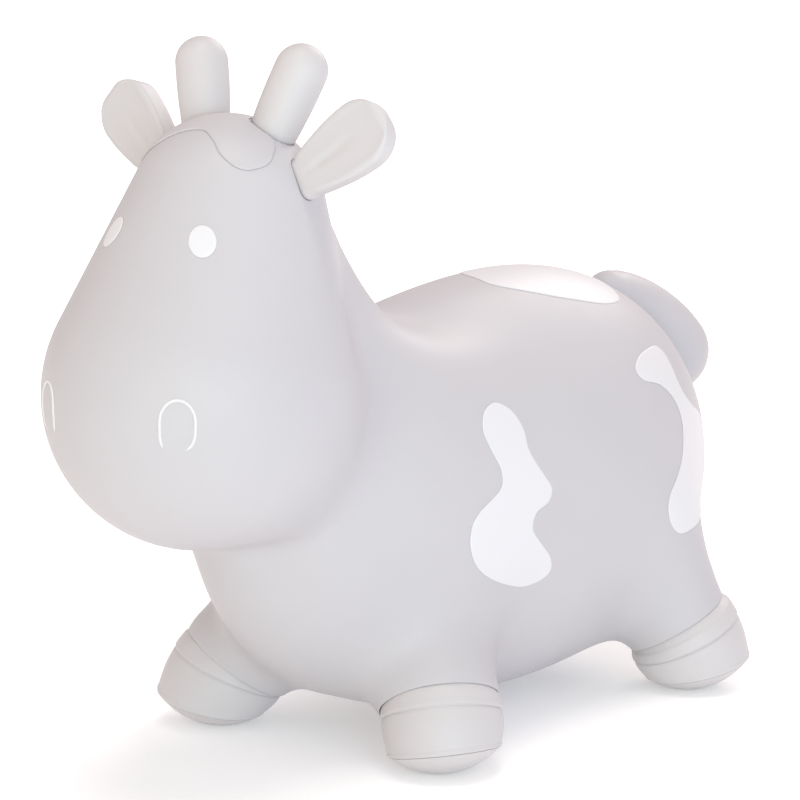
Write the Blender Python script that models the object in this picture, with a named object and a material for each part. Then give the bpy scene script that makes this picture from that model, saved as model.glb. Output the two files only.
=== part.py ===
"""Bouncy ride-on cow, an inflated toy of soft PVC that a toddler sits on and bounces.

Metres, +Z up, -Y forwards, +X the cow's left. The origin is on the floor, under the
middle of the toy.
"""
import math

import bmesh
import bpy
import numpy as np
from mathutils import Matrix, Vector

# Skin: wall, running gap between neighbours, and the size of its facets
WALL = 0.0026
SEAM_GAP = 0.0003
SKIN_CELL = 0.0230

# Crown and muzzle, the two balls that the head tapers between
CROWN_Y = -0.1875
CROWN_Z = 0.347
CROWN_RADIUS = 0.0595
MUZZLE_Y = -0.215
MUZZLE_Z = 0.2435
MUZZLE_RADIUS = 0.093

# Neck, from the nape down to the withers
NAPE_Y = -0.1375
NAPE_Z = 0.3125
NAPE_RADIUS = 0.035
WITHERS_Y = -0.089
WITHERS_Z = 0.208
WITHERS_RADIUS = 0.0595
NECK_BLEND = 0.040
HEAD_BLEND = 0.0515

# Rump, and the long barrel of chest and belly
RUMP_Y = 0.1255
RUMP_Z = 0.1465
RUMP_HALF_WIDTH = 0.0985
RUMP_HALF_LENGTH = 0.135
RUMP_HALF_HEIGHT = 0.122
BARREL_Y = 0.008
BARREL_Z = 0.142
BARREL_HALF_WIDTH = 0.100
BARREL_HALF_LENGTH = 0.195
BARREL_HALF_HEIGHT = 0.1285
TRUNK_BLEND = 0.108

# Legs: places of the four feet on the floor, and the stubs that run up into the body
LEG_SPLAY = math.radians(45)
FRONT_LEG_X = 0.0750
FRONT_LEG_Y = -0.0775
FRONT_RING_HEIGHT = 0.0412
FRONT_STUB_RADIUS = 0.0353
FRONT_SOLE_OUT = 0.0280
FRONT_SOLE_TURN = math.radians(24)
FRONT_HIP_REACH = 0.0655
FRONT_HIP_TILT = math.radians(46.5)
FRONT_HIP_RADIUS = 0.026
FRONT_LEG_BLEND = 0.066
HIND_LEG_X = 0.0915
HIND_LEG_Y = 0.1495
HIND_RING_HEIGHT = 0.0425
HIND_STUB_RADIUS = 0.0335
HIND_SOLE_OUT = 0.0235
HIND_SOLE_TURN = math.radians(45)
HIND_HIP_REACH = 0.0705
HIND_HIP_TILT = math.radians(21)
HIND_HIP_RADIUS = 0.0295
HIND_LEG_BLEND = 0.051

# Ankle ring, where the foot meets the stub, and the ball that the foot rocks on
RING_OUT = 0.0108
RING_TILT = math.radians(30)
RING_RADIUS = 0.0358
ANKLE_DROP = 0.020
ANKLE_GAP = 0.0009
AIRWAY_RADIUS = 0.022

# Boot and sole
CUFF_WIDTH = 0.0095
CUFF_RAISE = 0.0009
CUFF_GROOVE = 0.0007
BOOT_BULGE = 0.0025
BOOT_HEM = 0.0030
SOLE_TILT = math.radians(13)
SOLE_RADIUS = 0.0348
SOLE_DOME = 0.0136
SOLE_WALL = 0.0040
SOLE_PRESS = 0.0015

# Horns: where they leave the crown, how they lean, and their swing ball
HORN_SITE = Vector((0.441, 0.218, 0.871))
HORN_AXIS = Vector((0.313, 0.274, 0.910))
HORN_LIFT = 0.0025
HORN_ROOT_RADIUS = 0.0148
HORN_TIP_RADIUS = 0.0160
HORN_LENGTH = 0.0357
HORN_AIRWAY = 0.0070

# Ears: a thick spoon-shaped blade on a barrel that turns about the ear's width
EAR_SITE = Vector((0.895, 0.138, 0.425))
EAR_AXIS = Vector((0.775, 0.197, 0.600))
EAR_FACING = Vector((0.092, -0.975, 0.202))
EAR_LIFT = 0.0020
EAR_ROOT_HALF_WIDTH = 0.0127
EAR_HALF_THICKNESS = 0.0084
EAR_REACH = 0.0445
EAR_TIP_RADIUS = 0.0205
EAR_DISH = 0.0028
EAR_GROOVE = 0.0012

# Tail: a fat drop that hangs down the rump from a ball at its root. Stand-off from the
# skin and radius are given at the root, half way and at the end.
TAIL_ROOT_ANGLE = math.radians(49)
TAIL_END_ANGLE = math.radians(19)
TAIL_STAND_OFF = (0.0050, 0.0175, 0.0255)
TAIL_RADIUS = (0.0146, 0.0210, 0.0320)
TAIL_WIDENING = 0.12
TAIL_REST_GAP = 0.0006
TAIL_AIRWAY = 0.0050

# Raised decoration: bottom and top of every patch above the skin
PATCH_BOTTOM = 0.0003
PATCH_TOP = 0.0011
FORELOCK_TOP = 0.0014
PRISM_DEPTH = 0.060

# Eyes and nostrils on the face, which sits a little to the cow's left
FACE_OFFSET = 0.0024
EYE_X = 0.033
EYE_Z = 0.342
EYE_WIDTH = 0.0165
EYE_HEIGHT = 0.0205
EYE_TILT = math.radians(8)
NOSTRIL_X = 0.049
NOSTRIL_Z = 0.241
NOSTRIL_SPAN = 0.0104
NOSTRIL_ARCH = 0.0125
NOSTRIL_LEG = 0.0122
NOSTRIL_STROKE = 0.0022

# Forelock: its edge in the plane square to its own direction, from the crown's centre
FORELOCK_DIRECTION = Vector((0.0, -0.35, 0.937))
FORELOCK_EDGE = [
    (-0.044, -0.014), (-0.035, -0.014), (-0.026, -0.0145), (-0.019, -0.012),
    (-0.010, -0.009), (-0.003, -0.007), (0.003, -0.006), (0.008, -0.007),
    (0.013, -0.010), (0.018, -0.013), (0.023, -0.017), (0.029, -0.019),
    (0.035, -0.019), (0.040, -0.016), (0.043, -0.011), (0.045, -0.005),
    (0.045, 0.001), (0.043, 0.007), (0.040, 0.013), (0.035, 0.017),
    (0.027, 0.017), (0.016, 0.022), (0.010, 0.034), (0.000, 0.042),
    (-0.010, 0.034), (-0.016, 0.022), (-0.028, 0.015), (-0.040, 0.013),
    (-0.046, 0.002), (-0.048, -0.008),
]

# Coat patches: the middle of each and its edge around that. The side ones are (y, z) seen
# square from the left, and the back one is (x, y) seen from above.
FLANK_PATCH = (-0.034, 0.157)
RUMP_PATCH = (0.1565, 0.170)
BACK_PATCH = (0.010, 0.1065)
FLANK_EDGE = [
    (0.000, 0.063), (0.011, 0.059), (0.017, 0.052), (0.020, 0.043),
    (0.020, 0.033), (0.024, 0.024), (0.030, 0.015), (0.036, 0.005),
    (0.032, -0.003), (0.021, -0.008), (0.018, -0.018), (0.026, -0.028),
    (0.036, -0.039), (0.038, -0.049), (0.028, -0.054), (0.012, -0.0545),
    (-0.004, -0.050), (-0.018, -0.044), (-0.029, -0.036), (-0.035, -0.026),
    (-0.037, -0.016), (-0.035, -0.006), (-0.028, 0.0015), (-0.018, 0.007),
    (-0.009, 0.0135), (-0.008, 0.023), (-0.012, 0.032), (-0.016, 0.041),
    (-0.0175, 0.050), (-0.012, 0.059),
]
RUMP_EDGE = [
    (-0.010, 0.0595), (-0.001, 0.0575), (0.005, 0.052), (0.0065, 0.044),
    (0.0075, 0.035), (0.012, 0.026), (0.025, 0.0155), (0.039, 0.008),
    (0.047, -0.005), (0.048, -0.022), (0.041, -0.040), (0.027, -0.050),
    (0.005, -0.0545), (-0.012, -0.0575), (-0.028, -0.0585), (-0.0365, -0.050),
    (-0.038, -0.040), (-0.034, -0.031), (-0.025, -0.0235), (-0.016, -0.0155),
    (-0.009, -0.007), (-0.005, 0.002), (-0.003, 0.011), (-0.0055, 0.021),
    (-0.012, 0.030), (-0.024, 0.038), (-0.041, 0.043), (-0.045, 0.051),
    (-0.0325, 0.0575),
]
BACK_EDGE = [
    (-0.003, -0.053), (0.010, -0.055), (0.025, -0.043), (0.040, -0.018),
    (0.048, 0.015), (0.043, 0.042), (0.029, 0.055), (0.010, 0.059),
    (-0.010, 0.055), (-0.028, 0.043), (-0.040, 0.022), (-0.043, -0.003),
    (-0.036, -0.027), (-0.020, -0.045),
]

# Inflation valve, under the rump: a moulded-in seat and its push-in plug
VALVE_SITE = Vector((0.0, 0.80, -0.60))
VALVE_FLANGE_RADIUS = 0.0130
VALVE_FLANGE_THICKNESS = 0.0016
VALVE_NECK_RADIUS = 0.0088
VALVE_NECK_DEPTH = 0.0150
VALVE_BORE_RADIUS = 0.0048
VALVE_STAND_OFF = 0.0009
PLUG_HEAD_RADIUS = 0.0080
PLUG_HEAD_THICKNESS = 0.0024
PLUG_STEM_RADIUS = 0.0044
PLUG_TIP_RADIUS = 0.0038
PLUG_STEM_LENGTH = 0.0130
LIP_CHAMFER = 0.0006

# Facets round the turned pieces
FOOT_SEGMENTS = 24
HORN_SEGMENTS = 18
EAR_STATIONS = 11
EAR_END_STEPS = 5
TAIL_STATIONS = 9
TAIL_SEGMENTS = 18
VALVE_SEGMENTS = 16
BALL_RINGS = 12

CROWN = np.array((0.0, CROWN_Y, CROWN_Z))
MUZZLE = np.array((0.0, MUZZLE_Y, MUZZLE_Z))
NAPE = np.array((0.0, NAPE_Y, NAPE_Z))
WITHERS = np.array((0.0, WITHERS_Y, WITHERS_Z))
RUMP = np.array((0.0, RUMP_Y, RUMP_Z))
RUMP_RADII = np.array((RUMP_HALF_WIDTH, RUMP_HALF_LENGTH, RUMP_HALF_HEIGHT))
BARREL = np.array((0.0, BARREL_Y, BARREL_Z))
BARREL_RADII = np.array((BARREL_HALF_WIDTH, BARREL_HALF_LENGTH, BARREL_HALF_HEIGHT))

COAT = (0.61, 0.595, 0.61)
LIMB = (0.66, 0.64, 0.65)
WHITE = (0.86, 0.85, 0.88)
VALVE_COLOUR = (0.70, 0.69, 0.70)
VINYL_ROUGHNESS = 0.42


def leaned(out, angle):
    """Downward direction, leaned by an angle towards a level direction."""
    return out * math.sin(angle) - Vector((0, 0, math.cos(angle)))


class Leg:
    """Frame of a left leg, front or hind; its mirror image stands on the right."""

    def __init__(self, x, y, end, ring_height, stub_radius, sole_out, sole_turn,
                 hip_reach, hip_tilt, hip_radius, blend):
        self.base = Vector((x, y, 0.0))
        self.out = Vector((math.cos(LEG_SPLAY), end * math.sin(LEG_SPLAY), 0.0))
        sole_lean = Vector((math.cos(sole_turn), end * math.sin(sole_turn), 0.0))
        self.ring = self.base + self.out * RING_OUT + Vector((0, 0, ring_height))
        self.ring_normal = leaned(self.out, RING_TILT)
        self.hip = self.ring - leaned(self.out, hip_tilt) * hip_reach
        self.hip_radius = hip_radius
        self.stub_radius = stub_radius
        self.blend = blend
        self.ankle = self.ring + self.ring_normal * ANKLE_DROP
        self.sole_normal = leaned(sole_lean, SOLE_TILT)
        self.dome_radius = (SOLE_RADIUS ** 2 + SOLE_DOME ** 2) / (2 * SOLE_DOME)
        drop = self.dome_radius - SOLE_DOME
        rim_height = self.dome_radius - SOLE_PRESS - math.cos(SOLE_TILT) * drop
        self.sole = self.base + self.out * sole_out + Vector((0, 0, rim_height))
        self.dome_centre = self.sole - self.sole_normal * drop


FRONT_LEG = Leg(FRONT_LEG_X, FRONT_LEG_Y, -1, FRONT_RING_HEIGHT, FRONT_STUB_RADIUS,
                FRONT_SOLE_OUT, FRONT_SOLE_TURN, FRONT_HIP_REACH, FRONT_HIP_TILT,
                FRONT_HIP_RADIUS, FRONT_LEG_BLEND)
HIND_LEG = Leg(HIND_LEG_X, HIND_LEG_Y, 1, HIND_RING_HEIGHT, HIND_STUB_RADIUS,
               HIND_SOLE_OUT, HIND_SOLE_TURN, HIND_HIP_REACH, HIND_HIP_TILT,
               HIND_HIP_RADIUS, HIND_LEG_BLEND)
ANKLE_BALL_RADIUS = math.hypot(RING_RADIUS, ANKLE_DROP)


# The skin's shape, as a distance that is negative inside
def smooth_min(a, b, blend):
    """Lower of two distances, rounded over where they meet."""
    overlap = np.maximum(blend - np.abs(a - b), 0.0) / blend
    return np.minimum(a, b) - overlap ** 3 * blend / 6.0


def ball_taper(points, a, b, radius_a, radius_b):
    """Distance to two balls and the cone that wraps them."""
    span = b - a
    length2 = span @ span
    fall = radius_a - radius_b
    flat2 = length2 - fall * fall
    offset = points - a
    along = offset @ span
    beyond = along - length2
    side = offset * length2 - along[:, None] * span
    side2 = (side * side).sum(1)
    along2 = along * along * length2
    beyond2 = beyond * beyond * length2
    lean = np.sign(fall) * fall * fall * side2
    cone = (np.sqrt(side2 * flat2 / length2) + along * fall) / length2 - radius_a
    past_b = np.sign(beyond) * flat2 * beyond2 > lean
    before_a = np.sign(along) * flat2 * along2 < lean
    near_b = np.sqrt(side2 + beyond2) / length2 - radius_b
    near_a = np.sqrt(side2 + along2) / length2 - radius_a
    return np.where(past_b, near_b, np.where(before_a, near_a, cone))


def ellipsoid(points, centre, radii):
    """Close estimate of the distance to an ellipsoid."""
    offset = points - centre
    reach = np.sqrt(((offset / radii) ** 2).sum(1))
    slope = np.sqrt(((offset / radii ** 2) ** 2).sum(1))
    return reach * (reach - 1.0) / np.maximum(slope, 1e-9)


def skin_distance(points):
    """Distance to the outside of the body without horns, ears, tail and feet."""
    p = np.array(points, dtype=float)
    p[:, 0] = np.abs(p[:, 0])
    head = ball_taper(p, CROWN, MUZZLE, CROWN_RADIUS, MUZZLE_RADIUS)
    head = smooth_min(head, ball_taper(p, NAPE, WITHERS, NAPE_RADIUS, WITHERS_RADIUS), NECK_BLEND)
    trunk = smooth_min(ellipsoid(p, RUMP, RUMP_RADII), ellipsoid(p, BARREL, BARREL_RADII), TRUNK_BLEND)
    body = smooth_min(head, trunk, HEAD_BLEND)
    for leg in (FRONT_LEG, HIND_LEG):
        stub = ball_taper(p, np.array(leg.hip), np.array(leg.ring), leg.hip_radius, leg.stub_radius)
        body = smooth_min(body, stub, leg.blend)
    return body


def skin_slope(points):
    """Gradient of the skin distance."""
    step = 0.0004
    columns = []
    for axis in np.eye(3) * step:
        columns.append((skin_distance(points + axis) - skin_distance(points - axis)) / (2 * step))
    return np.stack(columns, axis=1)


def settle(points):
    """Move points along the slope until they lie on the skin."""
    for _ in range(7):
        slope = skin_slope(points)
        points = points - slope * (skin_distance(points) / np.maximum((slope ** 2).sum(1), 0.2))[:, None]
    return points


def skin_point(start, direction):
    """Where a ray from inside the body leaves the skin."""
    start = np.array(start, dtype=float)
    direction = np.array(direction, dtype=float)
    direction /= np.linalg.norm(direction)
    inside, outside = 0.0, 0.4
    for _ in range(40):
        middle = (inside + outside) / 2
        if skin_distance((start + direction * middle)[None])[0] < 0:
            inside = middle
        else:
            outside = middle
    return Vector(start + direction * inside)


def skin_normal(point):
    """Outward direction of the skin at a point."""
    return Vector(skin_slope(np.array(point)[None])[0]).normalized()


def mirrored(vector, side):
    """The same vector on the left, side 1, or on the right, side -1."""
    return Vector((vector.x * side, vector.y, vector.z))


# Mesh helpers
def material(name, colour, roughness=VINYL_ROUGHNESS):
    """Satin moulded PVC in one colour."""
    finish = bpy.data.materials.new(name)
    finish.use_nodes = True
    shader = finish.node_tree.nodes["Principled BSDF"]
    shader.inputs["Base Color"].default_value = (*colour, 1.0)
    shader.inputs["Roughness"].default_value = roughness
    shader.inputs["Metallic"].default_value = 0.0
    finish.diffuse_color = (*colour, 1.0)
    return finish


def add_piece(name, bm):
    """Object from a bmesh, with its faces pointing outwards."""
    bmesh.ops.remove_doubles(bm, verts=bm.verts, dist=1e-6)
    bmesh.ops.recalc_face_normals(bm, faces=bm.faces)
    mesh = bpy.data.meshes.new(name)
    bm.to_mesh(mesh)
    bm.free()
    piece = bpy.data.objects.new(name, mesh)
    bpy.context.scene.collection.objects.link(piece)
    return piece


def bake(piece):
    """Replace a piece's mesh by what its modifiers make of it."""
    graph = bpy.context.evaluated_depsgraph_get()
    mesh = bpy.data.meshes.new_from_object(piece.evaluated_get(graph))
    piece.modifiers.clear()
    piece.data = mesh
    return piece


def combine(piece, tool, operation, solver="EXACT"):
    """Boolean of a piece with a tool, which is used up."""
    cut = piece.modifiers.new(operation.title(), "BOOLEAN")
    cut.operation = operation
    cut.solver = solver
    cut.object = tool
    bake(piece)
    bpy.data.objects.remove(tool)
    return piece


def joined(pieces):
    """One object from several, which are used up."""
    bm = bmesh.new()
    for piece in pieces:
        bm.from_mesh(piece.data)
        bpy.data.objects.remove(piece)
    return add_piece("tools", bm)


def frame_at(origin, axis):
    """Matrix that puts +Z along the axis at the origin."""
    turn = Vector(axis).normalized().to_track_quat("Z", "Y").to_matrix().to_4x4()
    return Matrix.Translation(origin) @ turn


def turned(name, profile, origin, axis, segments):
    """Profile of (radius, height) spun about an axis; ends off the axis are joined up."""
    bm = bmesh.new()
    corners = [bm.verts.new((radius, 0.0, height)) for radius, height in profile]
    edges = [bm.edges.new(pair) for pair in zip(corners, corners[1:])]
    if profile[0][0] > 0 and profile[-1][0] > 0:
        edges.append(bm.edges.new((corners[-1], corners[0])))
    bmesh.ops.spin(bm, geom=corners + edges, axis=(0, 0, 1), cent=(0, 0, 0),
                   angle=math.tau, steps=segments, use_merge=True)
    bmesh.ops.transform(bm, matrix=frame_at(origin, axis), verts=bm.verts)
    return add_piece(name, bm)


def ball(name, centre, radius, axis=None):
    """Cutter round a ball, whose facets all stay outside it."""
    bm = bmesh.new()
    clear = 1 / math.cos(math.pi / (2 * BALL_RINGS)) ** 2
    bmesh.ops.create_uvsphere(bm, u_segments=2 * BALL_RINGS, v_segments=BALL_RINGS, radius=radius * clear)
    bmesh.ops.transform(bm, matrix=frame_at(centre, axis or (0, 0, 1)), verts=bm.verts)
    return add_piece(name, bm)


def blunt(angle):
    """Cosine and sine of an angle, swollen from a circle towards a square."""
    return [math.copysign(math.sqrt(abs(value)), value) for value in (math.cos(angle), math.sin(angle))]


def barrel(centre, radius, half_length, axis):
    """Cutter round the blunt-ended barrel that an ear turns on."""
    clear = 1 / math.cos(math.pi / BALL_RINGS)
    profile = [(0.0, -half_length)]
    for step in range(1, 2 * EAR_END_STEPS):
        out, along = blunt(math.pi * (step / (2 * EAR_END_STEPS) - 0.5))
        profile.append((radius * clear * out, half_length * along))
    profile.append((0.0, half_length))
    return turned("barrel", profile, centre, axis, BALL_RINGS)


def turned_ball(name, centre, radius, axis):
    """Ball inside its radius, turned about an axis."""
    rings = BALL_RINGS - 2
    profile = [(radius * math.sin(math.pi * k / rings), -radius * math.cos(math.pi * k / rings))
               for k in range(rings + 1)]
    profile[0] = (0, -radius)
    profile[-1] = (0, radius)
    return turned(name, profile, centre, axis, TAIL_SEGMENTS)


def air_hole(root, radius, axis, bore):
    """Cutter for the air passage from a root ball down into the body."""
    top, bottom = radius / 2, -radius - 3 * WALL
    return turned("air_hole", [(0, top), (bore, top), (bore, bottom), (0, bottom)], root, axis, HORN_SEGMENTS)


def lofted(name, loops, closed_along=False):
    """Skin over a row of equal loops, capped at its ends or run round into a ring."""
    bm = bmesh.new()
    ring = [bm.verts.new(point) for point in loops[0]]
    edges = [bm.edges.new(pair) for pair in zip(ring, ring[1:] + ring[:1])]
    ends = [edges]
    for loop in loops[1:] + loops[:1] * closed_along:
        made = bmesh.ops.extrude_edge_only(bm, edges=edges)["geom"]
        fresh = {item for item in made if isinstance(item, bmesh.types.BMVert)}
        ring = [next(e.other_vert(v) for e in v.link_edges if e.other_vert(v) in fresh) for v in ring]
        edges = [bm.edges.get(pair) for pair in zip(ring, ring[1:] + ring[:1])]
        for vertex, point in zip(ring, loop):
            vertex.co = point
    if not closed_along:
        for end in ends + [edges]:
            bmesh.ops.contextual_create(bm, geom=end)
    return add_piece(name, bm)


def smooth_loop(points, steps=2):
    """Closed curve through points, with a few straight steps from each to the next."""
    knots = np.array(points)
    before, after, beyond = np.roll(knots, 1, 0), np.roll(knots, -1, 0), np.roll(knots, -2, 0)
    rows = []
    for t in np.arange(steps) / steps:
        rows.append(0.5 * (2 * knots + (after - before) * t
                           + (2 * before - 5 * knots + 4 * after - beyond) * t * t
                           + (3 * knots - before - 3 * after + beyond) * t ** 3))
    return np.stack(rows, axis=1).reshape(-1, knots.shape[1])


def set_origin(piece, origin):
    """Put an object's origin on its joint without moving its mesh."""
    piece.data.transform(Matrix.Translation(-origin))
    piece.location = origin
    return piece


# The skin and its air space
def hull_of_balls(bm, centres_and_radii):
    """Wrap balls in one convex shape and add it to a mesh."""
    part = bmesh.new()
    for centre, radius in centres_and_radii:
        bmesh.ops.create_icosphere(part, subdivisions=3, radius=radius, matrix=Matrix.Translation(centre))
    hull = bmesh.ops.convex_hull(part, input=part.verts)
    inner = [item for item in hull["geom_interior"] if isinstance(item, bmesh.types.BMVert)]
    bmesh.ops.delete(part, geom=inner, context="VERTS")
    mesh = bpy.data.meshes.new("hull")
    part.to_mesh(mesh)
    part.free()
    bm.from_mesh(mesh)
    bpy.data.meshes.remove(mesh)


def swollen_body(name):
    """Closed body without horns, ears, tail and feet, in facets of about one cell."""
    bm = bmesh.new()
    hull_of_balls(bm, [(CROWN, CROWN_RADIUS), (MUZZLE, MUZZLE_RADIUS)])
    hull_of_balls(bm, [(NAPE, NAPE_RADIUS), (WITHERS, WITHERS_RADIUS)])
    for centre, radii in ((RUMP, RUMP_RADII), (BARREL, BARREL_RADII)):
        place = Matrix.Translation(centre) @ Matrix.Diagonal((*radii, 1.0))
        bmesh.ops.create_icosphere(bm, subdivisions=4, radius=1.0, matrix=place)
    for leg in (FRONT_LEG, HIND_LEG):
        for side in (1, -1):
            hull_of_balls(bm, [(mirrored(leg.hip, side), leg.hip_radius),
                               (mirrored(leg.ring, side), leg.stub_radius)])
    mesh = bpy.data.meshes.new(name)
    bm.to_mesh(mesh)
    bm.free()
    body = bpy.data.objects.new(name, mesh)
    bpy.context.scene.collection.objects.link(body)
    remesh = body.modifiers.new("Remesh", "REMESH")
    remesh.mode = "VOXEL"
    remesh.voxel_size = SKIN_CELL
    bake(body)
    bm = bmesh.new()
    bm.from_mesh(body.data)
    for _ in range(3):
        settle_vertices(bm)
        bmesh.ops.smooth_vert(bm, verts=bm.verts, factor=0.5, use_axis_x=True, use_axis_y=True, use_axis_z=True)
    settle_vertices(bm)
    bmesh.ops.triangulate(bm, faces=bm.faces)
    bmesh.ops.recalc_face_normals(bm, faces=bm.faces)
    bm.to_mesh(body.data)
    bm.free()
    return body


def settle_vertices(bm):
    """Settle every vertex of a mesh on the outside of the skin."""
    places = settle(np.array([vertex.co for vertex in bm.verts]))
    for vertex, place in zip(bm.verts, places):
        vertex.co = place


def raised_copy(skin, name, level):
    """The skin's own faces moved out by a level, so that facets stay parallel."""
    bm = bmesh.new()
    bm.from_mesh(skin.data)
    places = np.array([vertex.co for vertex in bm.verts])
    slope = skin_slope(places)
    places = places + slope * (level / np.linalg.norm(slope, axis=1))[:, None]
    for vertex, place in zip(bm.verts, places):
        vertex.co = place
    return add_piece(name, bm)


# Places of the moving pieces' roots
def horn_root(side):
    """Centre of a horn's swing ball."""
    point = skin_point(CROWN, HORN_SITE)
    return mirrored(point + HORN_SITE.normalized() * HORN_LIFT, side)


def ear_frame(side):
    """Root centre, axis towards the tip, width direction and facing of an ear."""
    root = skin_point(CROWN, EAR_SITE) + EAR_SITE.normalized() * EAR_LIFT
    axis = EAR_AXIS.normalized()
    facing = (EAR_FACING - axis * EAR_FACING.dot(axis)).normalized()
    width = axis.cross(facing)
    return [mirrored(vector, side) for vector in (root, axis, width, facing)]


def tail_line(share):
    """Centre, radius and skin direction of the tail at a share of its length."""
    angle = TAIL_ROOT_ANGLE + (TAIL_END_ANGLE - TAIL_ROOT_ANGLE) * share
    point = skin_point(RUMP, (0, math.cos(angle), math.sin(angle)))
    normal = skin_normal(point)
    weights = ((1 - share) * (1 - 2 * share), 4 * share * (1 - share), share * (2 * share - 1))
    stand_off = sum(w * value for w, value in zip(weights, TAIL_STAND_OFF))
    radius = sum(w * value for w, value in zip(weights, TAIL_RADIUS))
    return point + normal * stand_off, radius, normal


def valve_frame():
    """Point on the skin and outward direction of the valve."""
    point = skin_point(RUMP, VALVE_SITE)
    return point, skin_normal(point)


def root_balls(margin):
    """Cutter round the roots of the horns, ears and tail, with a margin."""
    root, radius, _ = tail_line(0)
    balls = [ball("root", root, radius + margin)]
    for side in (1, -1):
        balls.append(ball("root", horn_root(side), HORN_ROOT_RADIUS + margin))
        root, _, width, _ = ear_frame(side)
        balls.append(barrel(root, EAR_HALF_THICKNESS + margin, EAR_ROOT_HALF_WIDTH + margin, width))
    return joined(balls)


def body_skin(skin):
    """The blown skin: a hollow wall with sockets for the roots and open ankles."""
    cavity = raised_copy(skin, "cavity", -WALL)
    combine(cavity, root_balls(SEAM_GAP + WALL), "DIFFERENCE")
    combine(skin, root_balls(SEAM_GAP), "DIFFERENCE")
    combine(skin, cavity, "DIFFERENCE", "MANIFOLD")
    root, radius, normal = tail_line(0)
    tools = [air_hole(root, radius, normal, TAIL_AIRWAY)]
    for side in (1, -1):
        tools.append(air_hole(horn_root(side), HORN_ROOT_RADIUS, mirrored(HORN_AXIS, side), HORN_AIRWAY))
        for leg in (FRONT_LEG, HIND_LEG):
            centre, normal = mirrored(leg.ankle, side), mirrored(leg.ring_normal, side)
            tools.append(ball("ankle", centre, ANKLE_BALL_RADIUS + ANKLE_GAP, axis=normal))
    point, normal = valve_frame()
    hole, reach = VALVE_NECK_RADIUS + SEAM_GAP, VALVE_NECK_DEPTH
    tools.append(turned("bore", [(0, reach), (hole, reach), (hole, -reach), (0, -reach)],
                        point, normal, VALVE_SEGMENTS))
    return combine(skin, joined(tools), "DIFFERENCE", "MANIFOLD")


# Pieces that flex at their roots
def arc(centre, radius, start, stop, steps):
    """Points (radius, height) of an arc about a centre on the axis, angles from the equator."""
    angles = [start + (stop - start) * step / steps for step in range(steps + 1)]
    return [(max(radius * math.cos(a), 0.0), centre + radius * math.sin(a)) for a in angles]


def horn(name, side):
    """Hollow finger of a horn, open at the bottom of its swing ball."""
    root_open = -math.acos(HORN_AIRWAY / HORN_ROOT_RADIUS)
    inner_root = HORN_ROOT_RADIUS - WALL
    inner_tip = HORN_TIP_RADIUS - WALL
    inner_open = -math.acos(HORN_AIRWAY / inner_root)
    profile = arc(0.0, HORN_ROOT_RADIUS, root_open, 0.0, 4)
    profile += arc(HORN_LENGTH, HORN_TIP_RADIUS, 0.0, math.pi / 2, 5)
    profile += arc(HORN_LENGTH, inner_tip, math.pi / 2, 0.0, 3)
    profile += arc(0.0, inner_root, 0.0, inner_open, 3)
    bm = bmesh.new()
    corners = [bm.verts.new((radius, 0.0, height)) for radius, height in profile]
    edges = [bm.edges.new(pair) for pair in zip(corners, corners[1:] + corners[:1])]
    edges = [edge for edge in edges if edge.calc_length() > WALL / 2]
    tip_edge = [edge for edge in edges if max(v.co.x for v in edge.verts) < 1e-6]
    for edge in tip_edge:
        edges.remove(edge)
        bm.edges.remove(edge)
    bmesh.ops.spin(bm, geom=corners + edges, axis=(0, 0, 1), cent=(0, 0, 0),
                   angle=math.tau, steps=HORN_SEGMENTS, use_merge=True)
    root = horn_root(side)
    bmesh.ops.transform(bm, matrix=frame_at(root, mirrored(HORN_AXIS, side)), verts=bm.verts)
    return set_origin(add_piece(name, bm), root)


def ear_section(station):
    """Half width and dish depth of the ear at a distance from its root's centre."""
    if station <= EAR_REACH:
        share = max(station, 0.0) / EAR_REACH
        ease = math.sin(math.pi / 2 * share)
        half_width = EAR_ROOT_HALF_WIDTH + (EAR_TIP_RADIUS - EAR_ROOT_HALF_WIDTH) * ease
    else:
        past = min((station - EAR_REACH) / EAR_TIP_RADIUS, 1.0)
        half_width = EAR_TIP_RADIUS * math.sqrt(1 - past * past)
    rise = min(max(station, 0.0) / (0.3 * EAR_REACH), 1.0)
    dish = rise * min(half_width / EAR_TIP_RADIUS, 1.0)
    return half_width, dish


def ear(name, side):
    """Spoon-shaped ear on its root barrel: rounded back, dished and grooved front, thick rim."""
    root, axis, width, facing = ear_frame(side)
    angles = [math.tau * k / 16 for k in range(16)]
    loops = []
    for depth in (1.35, 0.9, 0.45):
        down = math.sin(depth)
        half_width = EAR_ROOT_HALF_WIDTH * (1 - down ** 4) ** 0.25
        loop = []
        for angle in angles:
            across, _ = blunt(angle)
            around = (1 - (across * half_width / EAR_ROOT_HALF_WIDTH) ** 4) ** 0.25
            thick = math.sqrt(max(around * around - down * down, 0.0)) * EAR_HALF_THICKNESS
            loop.append(root - axis * (down * EAR_HALF_THICKNESS) + width * (half_width * across)
                        - facing * math.copysign(thick, math.sin(angle)))
        loops.append(loop)
    full = EAR_REACH + EAR_TIP_RADIUS
    for k in range(EAR_STATIONS):
        share = k / (EAR_STATIONS - 1)
        station = full * (1 - (1 - share) ** 1.35) * 0.985
        half_width, dish = ear_section(station)
        thick = EAR_HALF_THICKNESS * min(1.0, (half_width / EAR_ROOT_HALF_WIDTH) ** 0.4)
        loop = []
        for angle in angles:
            across, depth = blunt(angle)
            if depth > 0 and dish > 0:
                depth = depth ** 1.5
            depth *= thick
            if depth < 0:
                hollow = EAR_DISH * max(0.0, 1 - (across / 0.85) ** 4)
                groove = EAR_GROOVE * math.exp(-(across / 0.15) ** 2)
                depth += dish * (hollow + groove)
            loop.append(root + axis * station + width * (half_width * across) - facing * depth)
        loops.append(loop)
    return set_origin(lofted(name, loops), root)


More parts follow.
